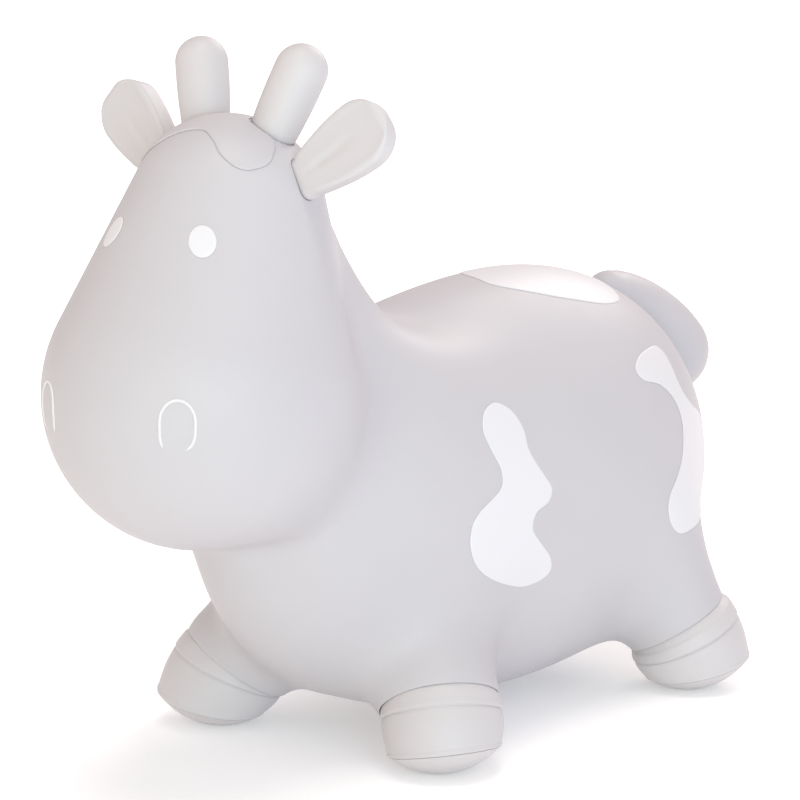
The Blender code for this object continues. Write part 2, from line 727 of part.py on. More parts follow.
def tail_body(name, skin, inset, rest):
    """Drop along the tail's line, thinned by the inset and kept off the rump."""
    loops = []
    shares = [station / (TAIL_STATIONS - 1) for station in range(TAIL_STATIONS)]
    line = [tail_line(share)[:2] for share in shares]
    for index, (centre, radius) in enumerate(line):
        before, after = line[max(index - 1, 0)][0], line[min(index + 1, TAIL_STATIONS - 1)][0]
        along = (after - before).normalized()
        up = Vector((1, 0, 0)).cross(along)
        wide = Vector((1 + TAIL_WIDENING * min(4 * shares[index], 1), 0, 0))
        caps = [(0.0, 1.0)]
        if index == 0:
            caps = [(-0.97, 0.24), (-0.75, 0.66), (0.0, 1.0)]
        if index == TAIL_STATIONS - 1:
            caps = [(0.0, 1.0), (0.45, 0.89), (0.8, 0.6), (0.97, 0.24)]
        for ahead, ring in caps:
            size = (radius - inset) * ring
            spokes = [math.tau * k / TAIL_SEGMENTS for k in range(TAIL_SEGMENTS)]
            loops.append([centre + along * ((radius - inset) * ahead)
                          + wide * (size * math.cos(a)) + up * (size * math.sin(a)) for a in spokes])
    piece = lofted(name, loops)
    return combine(piece, raised_copy(skin, "rump", rest), "DIFFERENCE", "MANIFOLD")


def tail(skin):
    """Hollow tail lying on the rump, swung from its root ball and blown through it."""
    piece = tail_body("tail", skin, 0.0, TAIL_REST_GAP)
    root, radius, normal = tail_line(0)
    combine(piece, turned_ball("root", root, radius, normal), "UNION", "MANIFOLD")
    combine(piece, tail_body("hollow", skin, WALL, TAIL_REST_GAP + WALL), "DIFFERENCE", "MANIFOLD")
    combine(piece, air_hole(root, radius, normal, TAIL_AIRWAY), "DIFFERENCE", "MANIFOLD")
    return set_origin(piece, root)


# Feet
def boot_radius(share):
    """Outer radius of a boot from the ankle ring, 0, to the sole's rim, 1."""
    return RING_RADIUS + (SOLE_RADIUS - RING_RADIUS) * share + BOOT_BULGE * math.sin(math.pi * share)


def circle(centre, normal, radius):
    """Points of a circle square to a normal, all started from the same side."""
    first = Vector((0, 0, 1)).cross(normal).normalized()
    second = normal.cross(first)
    angles = [math.tau * k / FOOT_SEGMENTS for k in range(FOOT_SEGMENTS)]
    return [centre + first * (radius * math.cos(a)) + second * (radius * math.sin(a)) for a in angles]


def boot(name, leg, side):
    """Hollow boot: open dome over the ankle ball, cuff between two grooves, round wall."""
    length = (leg.sole - leg.ring).length
    cuff = CUFF_WIDTH / length
    hem = 1 - BOOT_HEM / length
    course = [(0.0, 0.0), (0.3 * cuff, CUFF_RAISE), (0.85 * cuff, CUFF_RAISE), (cuff, -CUFF_GROOVE),
              (1.15 * cuff, 0.0), (0.6, 0.0), (hem, 0.0), (1.0, 0.0)]

    def station(share, radius):
        centre = leg.ring.lerp(leg.sole, share)
        normal = leg.ring_normal.lerp(leg.sole_normal, share).normalized()
        return circle(centre, normal, radius)

    def dome(radius, wall):
        ball_radius = ANKLE_BALL_RADIUS - wall
        height = math.sqrt(ball_radius ** 2 - radius ** 2)
        return circle(leg.ankle - leg.ring_normal * height, leg.ring_normal, radius)

    steps = (AIRWAY_RADIUS, (AIRWAY_RADIUS + RING_RADIUS) / 2)
    loops = [dome(radius, 0.0) for radius in steps]
    loops += [station(share, boot_radius(share) + raise_) for share, raise_ in course]
    inner = (1.0, 0.5)
    loops += [station(share, boot_radius(share) - WALL) for share in inner]
    loops += [dome(radius - 0.3 * WALL, WALL) for radius in reversed(steps)]
    loops = [[mirrored(point, side) for point in loop] for loop in loops]
    return lofted(name, loops, closed_along=True)


def sole(name, leg, side):
    """Domed sole under a boot, flattened where it stands on the floor."""
    rim = SOLE_RADIUS - SEAM_GAP
    centre = -(leg.dome_radius - SOLE_DOME)
    half = math.asin(SOLE_RADIUS / leg.dome_radius)
    outer = [(leg.dome_radius * math.sin(half * k / 5), centre + leg.dome_radius * math.cos(half * k / 5))
             for k in range(5)]
    inner_radius = leg.dome_radius - SOLE_WALL
    inner_half = math.asin((rim - SOLE_WALL) / inner_radius)
    inner = [(inner_radius * math.sin(inner_half * k / 3), centre + inner_radius * math.cos(inner_half * k / 3))
             for k in range(4)]
    profile = outer + [(rim, SEAM_GAP)] + [(rim - SOLE_WALL, SEAM_GAP)] + inner[::-1][1:]
    piece = turned(name, profile, mirrored(leg.sole, side), mirrored(leg.sole_normal, side), FOOT_SEGMENTS)
    bm = bmesh.new()
    bm.from_mesh(piece.data)
    cut = bmesh.ops.bisect_plane(bm, geom=bm.verts[:] + bm.edges[:] + bm.faces[:],
                                 plane_co=(0, 0, 0), plane_no=(0, 0, -1), clear_outer=True)
    rim_edges = [item for item in cut["geom_cut"] if isinstance(item, bmesh.types.BMEdge)]
    bmesh.ops.contextual_create(bm, geom=rim_edges)
    bmesh.ops.recalc_face_normals(bm, faces=bm.faces)
    bm.to_mesh(piece.data)
    bm.free()
    return piece


# Raised decoration
def prism(edge, origin, across, upwards, outwards):
    """Straight-sided tool with an edge drawn in the plane of two directions."""
    bm = bmesh.new()
    foot = origin - outwards * PRISM_DEPTH
    corners = [bm.verts.new(foot + across * u + upwards * v) for u, v in edge]
    face = bm.faces.new(corners)
    top = bmesh.ops.extrude_face_region(bm, geom=[face])
    raised = [item for item in top["geom"] if isinstance(item, bmesh.types.BMVert)]
    bmesh.ops.translate(bm, vec=outwards * (2 * PRISM_DEPTH), verts=raised)
    return bm


def skin_patch(name, edge, origin, across, upwards, skin, top=PATCH_TOP):
    """Thin raised patch that follows the skin inside an edge."""
    outwards = across.cross(upwards)
    piece = add_piece(name, prism(edge, origin, across, upwards, outwards))
    combine(piece, raised_copy(skin, "top", top), "INTERSECT")
    return combine(piece, raised_copy(skin, "bottom", PATCH_BOTTOM), "DIFFERENCE")


def coat_patches(skin):
    """Patches on both flanks, both sides of the rump and the back."""
    pieces = []
    for side, word in ((1, "left"), (-1, "right")):
        for kind, middle, edge in (("flank", FLANK_PATCH, FLANK_EDGE), ("rump", RUMP_PATCH, RUMP_EDGE)):
            place = skin_point((0, *middle), (side, 0, 0))
            loop = [(y * side, z) for y, z in smooth_loop(edge)]
            name = f"{word}_{kind}_patch"
            pieces.append(skin_patch(name, loop, place, Vector((0, side, 0)), Vector((0, 0, 1)), skin))
    place = skin_point((*BACK_PATCH, RUMP_Z), (0, 0, 1))
    loop = smooth_loop(BACK_EDGE)
    pieces.append(skin_patch("back_patch", loop, place, Vector((1, 0, 0)), Vector((0, 1, 0)), skin))
    return pieces


def face_frame(x, z, side):
    """Point on the face at a height and offset, with its level and upward directions."""
    point = skin_point((x * side + FACE_OFFSET, CROWN_Y, z), (0, -1, 0))
    outwards = skin_normal(point)
    across = Vector((0, 0, 1)).cross(outwards).normalized()
    return point, across, outwards.cross(across)


def eye(name, side, skin):
    """Oval eye."""
    point, across, upwards = face_frame(EYE_X, EYE_Z, side)
    loop = []
    for k in range(24):
        angle = math.tau * k / 24
        u, v = EYE_WIDTH / 2 * math.cos(angle), EYE_HEIGHT / 2 * math.sin(angle)
        tilt = -EYE_TILT * side
        loop.append((u * math.cos(tilt) + v * math.sin(tilt), v * math.cos(tilt) - u * math.sin(tilt)))
    return skin_patch(name, loop, point, across, upwards, skin)


def nostril(name, side, skin):
    """Raised line that arches over where a nostril would be."""
    point, across, upwards = face_frame(NOSTRIL_X, NOSTRIL_Z, side)
    line = [(-NOSTRIL_SPAN, -NOSTRIL_LEG), (-NOSTRIL_SPAN, -NOSTRIL_LEG / 3)]
    line += [(-NOSTRIL_SPAN * math.cos(math.pi * k / 8), NOSTRIL_ARCH * math.sin(math.pi * k / 8) + 0.004)
             for k in range(9)]
    line += [(0.9 * NOSTRIL_SPAN, -NOSTRIL_LEG / 3), (0.6 * NOSTRIL_SPAN, -NOSTRIL_LEG)]
    course = np.array(line) * (1 if side > 0 else -1, 1)
    along = np.gradient(course, axis=0)
    square = np.stack([-along[:, 1], along[:, 0]], axis=1) / np.linalg.norm(along, axis=1)[:, None]
    outline = np.vstack([course + square * NOSTRIL_STROKE / 2, (course - square * NOSTRIL_STROKE / 2)[::-1]])
    return skin_patch(name, [tuple(p) for p in outline], point, across, upwards, skin)


def forelock(skin):
    """Wavy fringe on the crown, cut round the horns."""
    outwards = FORELOCK_DIRECTION.normalized()
    across = Vector((1, 0, 0))
    upwards = outwards.cross(across)
    origin = Vector(CROWN) + outwards * CROWN_RADIUS
    loop = [tuple(point) for point in smooth_loop(FORELOCK_EDGE)]
    piece = skin_patch("forelock", loop, origin, across, upwards, skin, FORELOCK_TOP)
    for side in (1, -1):
        combine(piece, ball("horn_hole", horn_root(side), HORN_ROOT_RADIUS + 2 * SEAM_GAP), "DIFFERENCE")
    return piece


# Valve
def valve_seat():
    """Flanged bush moulded into the skin, with a bore for the plug."""
    point, normal = valve_frame()
    low, high = VALVE_STAND_OFF, VALVE_STAND_OFF + VALVE_FLANGE_THICKNESS
    profile = [(VALVE_BORE_RADIUS, -VALVE_NECK_DEPTH), (VALVE_NECK_RADIUS, -VALVE_NECK_DEPTH),
               (VALVE_NECK_RADIUS, low), (VALVE_FLANGE_RADIUS, low),
               (VALVE_FLANGE_RADIUS, high - LIP_CHAMFER), (VALVE_FLANGE_RADIUS - LIP_CHAMFER, high),
               (VALVE_BORE_RADIUS, high)]
    return turned("valve_seat", profile, point, normal, VALVE_SEGMENTS)


def air_plug():
    """Push-in plug that closes the valve."""
    point, normal = valve_frame()
    seat = VALVE_STAND_OFF + VALVE_FLANGE_THICKNESS + SEAM_GAP
    top = seat + PLUG_HEAD_THICKNESS
    profile = [(0, seat - PLUG_STEM_LENGTH), (PLUG_TIP_RADIUS - LIP_CHAMFER, seat - PLUG_STEM_LENGTH),
               (PLUG_TIP_RADIUS, seat - PLUG_STEM_LENGTH + LIP_CHAMFER), (PLUG_STEM_RADIUS, seat),
               (PLUG_HEAD_RADIUS, seat), (PLUG_HEAD_RADIUS, top - LIP_CHAMFER),
               (PLUG_HEAD_RADIUS - LIP_CHAMFER, top), (0, top)]
    return set_origin(turned("air_plug", profile, point, normal, VALVE_SEGMENTS), point)


def dress(piece, colour, soft=True):
    """Give a finished piece its own material and smooth shading."""
    piece.data.materials.clear()
    piece.data.materials.append(material(piece.name + "_vinyl", colour))
    if soft:
        piece.data.shade_smooth()
        piece.data.set_sharp_from_angle(angle=math.radians(40))
    return piece


def build():
    """Model the whole toy."""
    for thing in list(bpy.data.objects):
        bpy.data.objects.remove(thing)
    toy = bpy.data.objects.new("ride_on_cow", None)
    bpy.context.scene.collection.objects.link(toy)
    skin = swollen_body("body_skin")
    pieces = []
    for patch in coat_patches(skin):
        pieces.append(dress(patch, WHITE))
    pieces.append(dress(forelock(skin), COAT))
    pieces.append(dress(tail(skin), COAT))
    for side, word in ((1, "left"), (-1, "right")):
        pieces.append(dress(eye(f"{word}_eye", side, skin), WHITE))
        pieces.append(dress(nostril(f"{word}_nostril", side, skin), WHITE))
        pieces.append(dress(horn(f"{word}_horn", side), LIMB))
        pieces.append(dress(ear(f"{word}_ear", side), LIMB))
        for end, leg in (("front", FRONT_LEG), ("hind", HIND_LEG)):
            ankle = bpy.data.objects.new(f"{word}_{end}_ankle", None)
            ankle.location = mirrored(leg.ankle, side)
            ankle.parent = toy
            bpy.context.scene.collection.objects.link(ankle)
            for made, kind in ((boot, "boot"), (sole, "sole")):
                piece = dress(made(f"{word}_{end}_{kind}", leg, side), LIMB)
                set_origin(piece, ankle.location.copy())
                piece.location = (0, 0, 0)
                piece.parent = ankle
    pieces.append(dress(valve_seat(), VALVE_COLOUR))
    pieces.append(dress(air_plug(), VALVE_COLOUR))
    pieces.append(dress(body_skin(skin), COAT))
    for piece in pieces:
        piece.parent = toy


build()
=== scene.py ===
import math

import bpy
import numpy as np
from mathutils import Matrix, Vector
from mathutils.geometry import delaunay_2d_cdt


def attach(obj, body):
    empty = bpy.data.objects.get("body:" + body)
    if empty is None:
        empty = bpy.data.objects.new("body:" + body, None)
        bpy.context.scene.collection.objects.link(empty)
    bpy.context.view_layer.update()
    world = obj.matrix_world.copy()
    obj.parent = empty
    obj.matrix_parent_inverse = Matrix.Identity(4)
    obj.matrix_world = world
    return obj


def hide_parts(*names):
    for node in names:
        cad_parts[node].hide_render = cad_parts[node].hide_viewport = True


# Bouncy ride-on cow: a hollow toy of soft PVC. Metres, +Z up, -Y forwards, +X the cow's left.
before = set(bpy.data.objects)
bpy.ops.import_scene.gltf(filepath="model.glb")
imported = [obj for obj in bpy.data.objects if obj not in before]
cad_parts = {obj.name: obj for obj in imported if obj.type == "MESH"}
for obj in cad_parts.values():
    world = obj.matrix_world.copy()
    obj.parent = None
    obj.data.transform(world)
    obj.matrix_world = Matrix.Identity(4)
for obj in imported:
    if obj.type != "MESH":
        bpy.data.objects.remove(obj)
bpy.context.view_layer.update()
print("frame loaded:", len(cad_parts), "solids")

norm = np.linalg.norm
sides = ((1, "left"), (-1, "right"))
xAxis, yAxis, zAxis = np.eye(3)


# the inflated shapes are cut from distances in metres, negative inside
def smoothMin(a, b, blend):
    # the lower of two distances, less a cubic fillet where they come within the blend
    overlap = np.maximum(blend - np.abs(a - b), 0) / blend
    return np.minimum(a, b) - overlap ** 3 * blend / 6


def unit(vector):
    vector = np.asarray(vector, float)
    return vector / norm(vector)


def unitRows(rows):
    return rows / norm(rows, axis=1)[:, None]


def mirrored(vector, side):
    return np.asarray(vector, float) * (side, 1, 1)


def turns(count):
    return np.linspace(0, math.tau, count, endpoint=False)


def crossing(before, far, count, halvings=34):
    # how far from nought before(reach) still holds, for each of the count, by halving
    low, high = np.zeros(count), np.full(count, far)
    for _ in range(halvings):
        middle = (low + high) / 2
        holds = before(middle)
        low, high = np.where(holds, middle, low), np.where(holds, high, middle)
    return low


def squareTo(axis):
    # two directions square to an axis and to each other
    first = unit(np.cross(axis, zAxis if abs(axis[2]) < 0.9 else xAxis))
    return first, np.cross(axis, first)


def ballTaper(p, a, b, radiusA, radiusB):
    # distance to the balls a and b and the cone that wraps them
    a, b = np.asarray(a, float), np.asarray(b, float)
    span = b - a
    length2 = span @ span
    fall = radiusA - radiusB
    flat2 = length2 - fall * fall
    offset = p - a
    along = offset @ span
    beyond = along - length2
    side = offset * length2 - along[:, None] * span
    side2 = (side * side).sum(1)
    along2, beyond2 = along * along * length2, beyond * beyond * length2
    lean = np.sign(fall) * fall * fall * side2
    cone = (np.sqrt(side2 * flat2 / length2) + along * fall) / length2 - radiusA
    nearB = np.sqrt(side2 + beyond2) / length2 - radiusB
    nearA = np.sqrt(side2 + along2) / length2 - radiusA
    pastB = np.sign(beyond) * flat2 * beyond2 > lean
    beforeA = np.sign(along) * flat2 * along2 < lean
    return np.where(pastB, nearB, np.where(beforeA, nearA, cone))


def ellipsoid(p, centre, radii):
    # reach over slope: the usual close estimate of the distance to an ellipsoid
    offset, radii = p - centre, np.asarray(radii)
    reach = np.sqrt(((offset / radii) ** 2).sum(1))
    slope = np.sqrt(((offset / radii ** 2) ** 2).sum(1))
    return reach * (reach - 1) / np.maximum(slope, 1e-9)


# at the end: the net's box and edge lengths, the room round each root and how far the net is cut back
cow = {
    "crown": (0, -0.1875, 0.347), "crownRadius": 0.0595,
    "muzzle": (0, -0.215, 0.2435), "muzzleRadius": 0.093,
    "nape": (0, -0.1375, 0.3125), "napeRadius": 0.035,
    "withers": (0, -0.089, 0.208), "withersRadius": 0.0595,
    "rump": (0, 0.1255, 0.1465), "rumpRadii": (0.0985, 0.135, 0.122),
    "barrel": (0, 0.008, 0.142), "barrelRadii": (0.1, 0.195, 0.1285),
    "neckBlend": 0.04, "headBlend": 0.0515, "trunkBlend": 0.108,
    "cheekBlend": 0.055, "cheekFrom": 0.02, "cheekRun": 0.05,
    "box": ((-0.15, -0.32, -0.001), (0.15, 0.27, 0.412)),
    "cell": 0.0034, "fineCell": 0.0012, "coarsening": 0.4, "gap": 0.0002, "cutBack": 0.0032,
}

leg = {
    "ringOut": 0.0108, "ringTilt": math.radians(30), "ringRadius": 0.0358, "ankleDrop": 0.02, "lip": 0.0018,
    "soleTilt": math.radians(13), "soleRadius": 0.0348, "soleDome": 0.0136, "solePress": 0.0015,
}


def legFrame(x, y, end, ringHeight, soleOut, soleTurn, hipReach, hipTilt, **radii):
    # places of one left leg, from where its foot stands and how its hip and sole lean
    out = np.array((math.cos(math.pi / 4), end * math.sin(math.pi / 4), 0))
    soleLean = np.array((math.cos(soleTurn), end * math.sin(soleTurn), 0))
    leaned = lambda way, angle: way * math.sin(angle) - np.array((0, 0, math.cos(angle)))
    base = np.array((x, y, 0))
    domeRadius = (leg["soleRadius"] ** 2 + leg["soleDome"] ** 2) / (2 * leg["soleDome"])
    drop = domeRadius - leg["soleDome"]
    rimHeight = domeRadius - leg["solePress"] - math.cos(leg["soleTilt"]) * drop
    ring = base + out * leg["ringOut"] + (0, 0, ringHeight)
    ringNormal, soleNormal = leaned(out, leg["ringTilt"]), leaned(soleLean, leg["soleTilt"])
    return {"ring": ring, "ringNormal": ringNormal, "ankle": ring + ringNormal * leg["ankleDrop"],
            "hip": ring - leaned(out, hipTilt) * hipReach, "sole": base + out * soleOut + (0, 0, rimHeight),
            "soleNormal": soleNormal, "domeRadius": domeRadius, "drop": drop, **radii}


legs = {
    "front": legFrame(0.075, -0.0775, -1, ringHeight=0.0412, stubRadius=0.0353, soleOut=0.028,
                      soleTurn=math.radians(24), hipReach=0.0655, hipTilt=math.radians(46.5),
                      hipRadius=0.026, blend=0.066),
    "hind": legFrame(0.0915, 0.1495, 1, ringHeight=0.0425, stubRadius=0.0335, soleOut=0.0235,
                     soleTurn=math.radians(45), hipReach=0.0705, hipTilt=math.radians(21),
                     hipRadius=0.0295, blend=0.051),
}
ankleRadius = math.hypot(leg["ringRadius"], leg["ankleDrop"])


def skinDistance(points):
    # head and neck, rump and barrel, and four leg stubs, run together with soft fillets.
    # x is folded to one side, and the fillet behind the cheeks grows outwards
    p = np.array(points, float)
    p[:, 0] = np.abs(p[:, 0])
    head = ballTaper(p, cow["crown"], cow["muzzle"], cow["crownRadius"], cow["muzzleRadius"])
    neck = ballTaper(p, cow["nape"], cow["withers"], cow["napeRadius"], cow["withersRadius"])
    head = smoothMin(head, neck, cow["neckBlend"])
    trunk = smoothMin(ellipsoid(p, cow["rump"], cow["rumpRadii"]),
                      ellipsoid(p, cow["barrel"], cow["barrelRadii"]), cow["trunkBlend"])
    aside = np.clip((p[:, 0] - cow["cheekFrom"]) / cow["cheekRun"], 0, 1)
    shape = smoothMin(head, trunk, cow["headBlend"] + cow["cheekBlend"] * aside ** 2 * (3 - 2 * aside))
    for one in legs.values():
        stub = ballTaper(p, one["hip"], one["ring"], one["hipRadius"], one["stubRadius"])
        shape = smoothMin(shape, stub, one["blend"])
    return shape


def slopeOf(field, points, step=0.0003):
    # central differences of a distance along the three axes
    return np.stack([(field(points + axis) - field(points - axis)) / (2 * step)
                     for axis in np.eye(3) * step], 1)


def settle(field, points, rounds=6):
    # Newton steps along the slope until the distance is nought
    for _ in range(rounds):
        slope = slopeOf(field, points)
        points = points - slope * (field(points) / np.maximum((slope ** 2).sum(1), 0.2))[:, None]
    return points


def castOut(starts, direction, longest=0.4):
    # where rays from inside leave the skin
    starts, direction = np.atleast_2d(np.asarray(starts, float)), unit(direction)
    at = lambda reach: starts + direction * reach[:, None]
    return at(crossing(lambda reach: skinDistance(at(reach)) < 0, longest, len(starts)))


def skinNormals(points):
    return unitRows(slopeOf(skinDistance, np.atleast_2d(points)))


# where the flexing pieces are rooted, and how they are shaped
hornShape = {
    "site": (0.441, 0.218, 0.871), "axis": (0.313, 0.274, 0.91), "lift": 0.0025, "lip": 0.0012,
    "rootRadius": 0.0148, "tipRadius": 0.016, "length": 0.0357, "bulge": 0.0004, "segments": 72,
}
earShape = {
    "site": (0.895, 0.138, 0.425), "axis": (0.775, 0.197, 0.6), "facing": (0.092, -0.975, 0.202),
    "lift": 0.002, "lip": 0.001, "rootHalfWidth": 0.0127, "halfThickness": 0.0084, "reach": 0.0445,
    "tipRadius": 0.0205, "dish": 0.0014, "groove": 0.0013, "backShort": 0.0024,
    # shares of half width or reach, and the run that squares the section up
    "dishHalf": 0.86, "grooveHalf": 0.16, "dishFrom": 0.3, "squareRun": 0.005,
}
tailShape = {
    "rootAngle": math.radians(49), "endAngle": math.radians(19), "standOff": (0.005, 0.0175, 0.0255),
    "radius": (0.0146, 0.021, 0.032), "widening": 0.12, "restGap": 0.0007, "lip": 0.0012,
    "blend": 0.004, "restBlend": 0.003, "rootBlend": 0.001,
    "box": ((-0.045, 0.19, 0.15), (0.045, 0.32, 0.3)), "cell": 0.0018,
}
valveShape = {
    "site": (0, 0.8, -0.6), "flangeRadius": 0.013, "flangeThickness": 0.0016, "flangeEdge": 0.0006,
    "neckRadius": 0.0088, "neckDepth": 0.015, "boreRadius": 0.0048, "standOff": 0.0009,
    "hollowDepth": 0.008, "hollowRadius": 0.0125, "lip": 0.0008,
    "baseAt": (0.001, 0.0015), "bevel": 0.0004, "plugRadius": 0.008, "plugEdge": 0.0008, "stem": 0.013,
    "seam": 0.0003, "stemEnd": 0.0032, "stemWide": 0.0038, "stemTop": 0.0044, "stemBevel": 0.0006,
    "headRadius": 0.004, "headHeight": (0.0024, 0.0025, 0.0026), "segments": 64, "sharpAngle": 35,
}


def crownRoot(shape):
    # out of the crown towards the site of a horn or an ear, then lifted
    return castOut(cow["crown"], shape["site"])[0] + unit(shape["site"]) * shape["lift"]


def hornRoot(side):
    return mirrored(crownRoot(hornShape), side)


def earFrame(side):
    # root, direction to the tip, direction across, and the way the hollow face looks
    axis, facing = unit(earShape["axis"]), np.array(earShape["facing"])
    facing = unit(facing - axis * (facing @ axis))
    return [mirrored(v, side) for v in (crownRoot(earShape), axis, np.cross(axis, facing), facing)]


def tailLine(share):
    # centre, radius and skin direction along the tail, through values at root, middle and end
    angle = tailShape["rootAngle"] + (tailShape["endAngle"] - tailShape["rootAngle"]) * share
    point = castOut(cow["rump"], (0, math.cos(angle), math.sin(angle)))[0]
    normal = skinNormals(point)[0]
    weights = np.array(((1 - share) * (1 - 2 * share), 4 * share * (1 - share), share * (2 * share - 1)))
    return point + normal * (weights @ tailShape["standOff"]), weights @ tailShape["radius"], normal


valvePoint = castOut(cow["rump"], valveShape["site"])[0]
valveNormal = skinNormals(valvePoint)[0]
tailRoot, tailRootRadius, tailRootNormal = tailLine(0.0)


def socketList():
    # centre, axis out of the skin and radius of each hollow that a flexing piece is rooted in.
    # An ear's is a blunt barrel across the ear; the valve's is a ball that holds the whole neck
    def socket(centre, axis, radius, shape, **barrel):
        return {"centre": centre, "axis": axis, "radius": radius, "lip": shape["lip"], **barrel}

    found = [socket(tailRoot, tailRootNormal, tailRootRadius, tailShape),
             socket(valvePoint - valveNormal * valveShape["hollowDepth"], valveNormal,
                    valveShape["hollowRadius"], valveShape)]
    for side, _ in sides:
        root, _, across, _ = earFrame(side)
        hornAxis, earAxis = (mirrored(unit(shape["site"]), side) for shape in (hornShape, earShape))
        found += [socket(hornRoot(side), hornAxis, hornShape["rootRadius"], hornShape),
                  socket(root, earAxis, earShape["halfThickness"], earShape,
                         across=across, halfWidth=earShape["rootHalfWidth"])]
        found += [socket(mirrored(one["ankle"], side), mirrored(one["ringNormal"], side), ankleRadius, leg)
                  for one in legs.values()]
    return found


def socketReach(socket, ways):
    # distance from the centre to the hollow's wall along unit vectors
    reach = np.full(ways.shape[:-1], socket["radius"])
    if "across" in socket:
        along = np.abs(ways @ socket["across"])
        radial = np.sqrt(np.maximum(1 - along ** 2, 0))
        reach = ((radial / socket["radius"]) ** 4 + (along / socket["halfWidth"]) ** 4) ** -0.25
    return reach + cow["gap"]


def socketDistance(points):
    # how far points are outside the nearest hollow, measured from its centre
    nearest = np.full(len(points), np.inf)
    for socket in sockets:
        offset = points - socket["centre"]
        far = norm(offset, axis=1)
        nearest = np.minimum(nearest, far - socketReach(socket, offset / far[:, None]))
    return nearest


sockets = socketList()


def placed(name, data):
    made = bpy.data.objects.new(name, data)
    bpy.context.scene.collection.objects.link(made)
    return made


def addMesh(name, vertices, faces, sharpAngle=None):
    # one object from points and faces, which are turned round if the volume comes out negative
    vertices = np.asarray(vertices, float)
    volume = 0.0
    for corners in faces:
        first, *others = (vertices[column] for column in corners.T)
        volume += sum((np.cross(first, b) * c).sum() for b, c in zip(others, others[1:]))
    if volume < 0:
        faces = [corners[:, ::-1] for corners in faces]
    mesh = bpy.data.meshes.new(name)
    mesh.from_pydata(vertices.tolist(), [], [row for corners in faces for row in corners.tolist()])
    mesh.update()
    mesh.shade_smooth()
    if sharpAngle is not None:
        mesh.set_sharp_from_angle(angle=math.radians(sharpAngle))
    return placed(name, mesh)


def ringFaces(rows, count):
    # quads between neighbouring rings of equal count, and fans to the two poles that follow them
    i, j = np.meshgrid(np.arange(rows - 1) * count, np.arange(count), indexing="ij")
    after = (j + 1) % count
    quads = np.stack([i + j, i + after, i + count + after, i + count + j], -1).reshape(-1, 4)
    k, last, pole = np.arange(count), (rows - 1) * count, rows * count
    start = np.stack([np.full(count, pole), (k + 1) % count, k], 1)
    end = np.stack([np.full(count, pole + 1), last + k, last + (k + 1) % count], 1)
    return [quads, np.vstack([start, end])]


def loftedPiece(name, rings, startPoint, endPoint, sharpAngle=None):
    # rings is an array (rings, points round, 3); the two end points close it
    vertices = np.vstack([rings.reshape(-1, 3), startPoint, endPoint])
    return addMesh(name, vertices, ringFaces(*rings.shape[:2]), sharpAngle)


def turnedPiece(name, profile, origin, axis, segments, sharpAngle=None):
    # profile of (radius, height) carried round an axis: origin + axis*height + radius*(cos, sin)
    profile = np.asarray(profile, float)
    axis = unit(axis)
    first, second = squareTo(axis)
    turn = turns(segments)[:, None]
    round_ = np.cos(turn) * first + np.sin(turn) * second
    inner = profile[1:-1]
    rings = origin + inner[:, 1][:, None, None] * axis + inner[:, 0][:, None, None] * round_
    return loftedPiece(name, rings, origin + axis * profile[0, 1], origin + axis * profile[-1, 1], sharpAngle)


def edgesOf(triangles):
    return triangles[:, [0, 1, 1, 2, 2, 0]].reshape(-1, 2)


def eased(vertices, edges, strength=0.6):
    # each vertex moved towards the mean of its neighbours
    count = len(vertices)
    share = np.bincount(edges.ravel(), minlength=count)
    around = np.stack([np.bincount(edges[:, 0], vertices[edges[:, 1], k], count)
                       + np.bincount(edges[:, 1], vertices[edges[:, 0], k], count) for k in range(3)], 1)
    return vertices + strength * (around / share[:, None] - vertices)


def splitTriangles(vertices, triangles, wanted):
    # halve the wanted edges and cut their triangles into two, three or four
    edges, place = np.unique(np.sort(edgesOf(triangles), 1), axis=0, return_inverse=True)
    place = place.reshape(-1, 3)
    ends = vertices[edges]
    chosen = wanted(ends.mean(1), norm(ends[:, 0] - ends[:, 1], axis=1))
    middle = np.where(chosen, len(vertices) + np.cumsum(chosen) - 1, -1)[place]
    halved = (middle >= 0).sum(1)
    turned = np.where(halved == 1, (middle >= 0).argmax(1), (middle < 0).argmax(1) + 1) % 3
    order = (np.arange(3) + turned[:, None]) % 3
    a, b, c = np.take_along_axis(triangles, order, 1).T
    ab, bc, ca = np.take_along_axis(middle, order, 1).T
    pieces = (((a, b, c),), ((a, ab, c), (ab, b, c)), ((ab, b, bc), (a, ab, bc), (a, bc, c)),
              ((a, ab, ca), (ab, b, bc), (ca, bc, c), (ab, bc, ca)))
    faces = [np.stack(corners, 1)[halved == k] for k, cuts in enumerate(pieces) for corners in cuts]
    return np.vstack([vertices, ends[chosen].mean(1)]), np.vstack(faces)


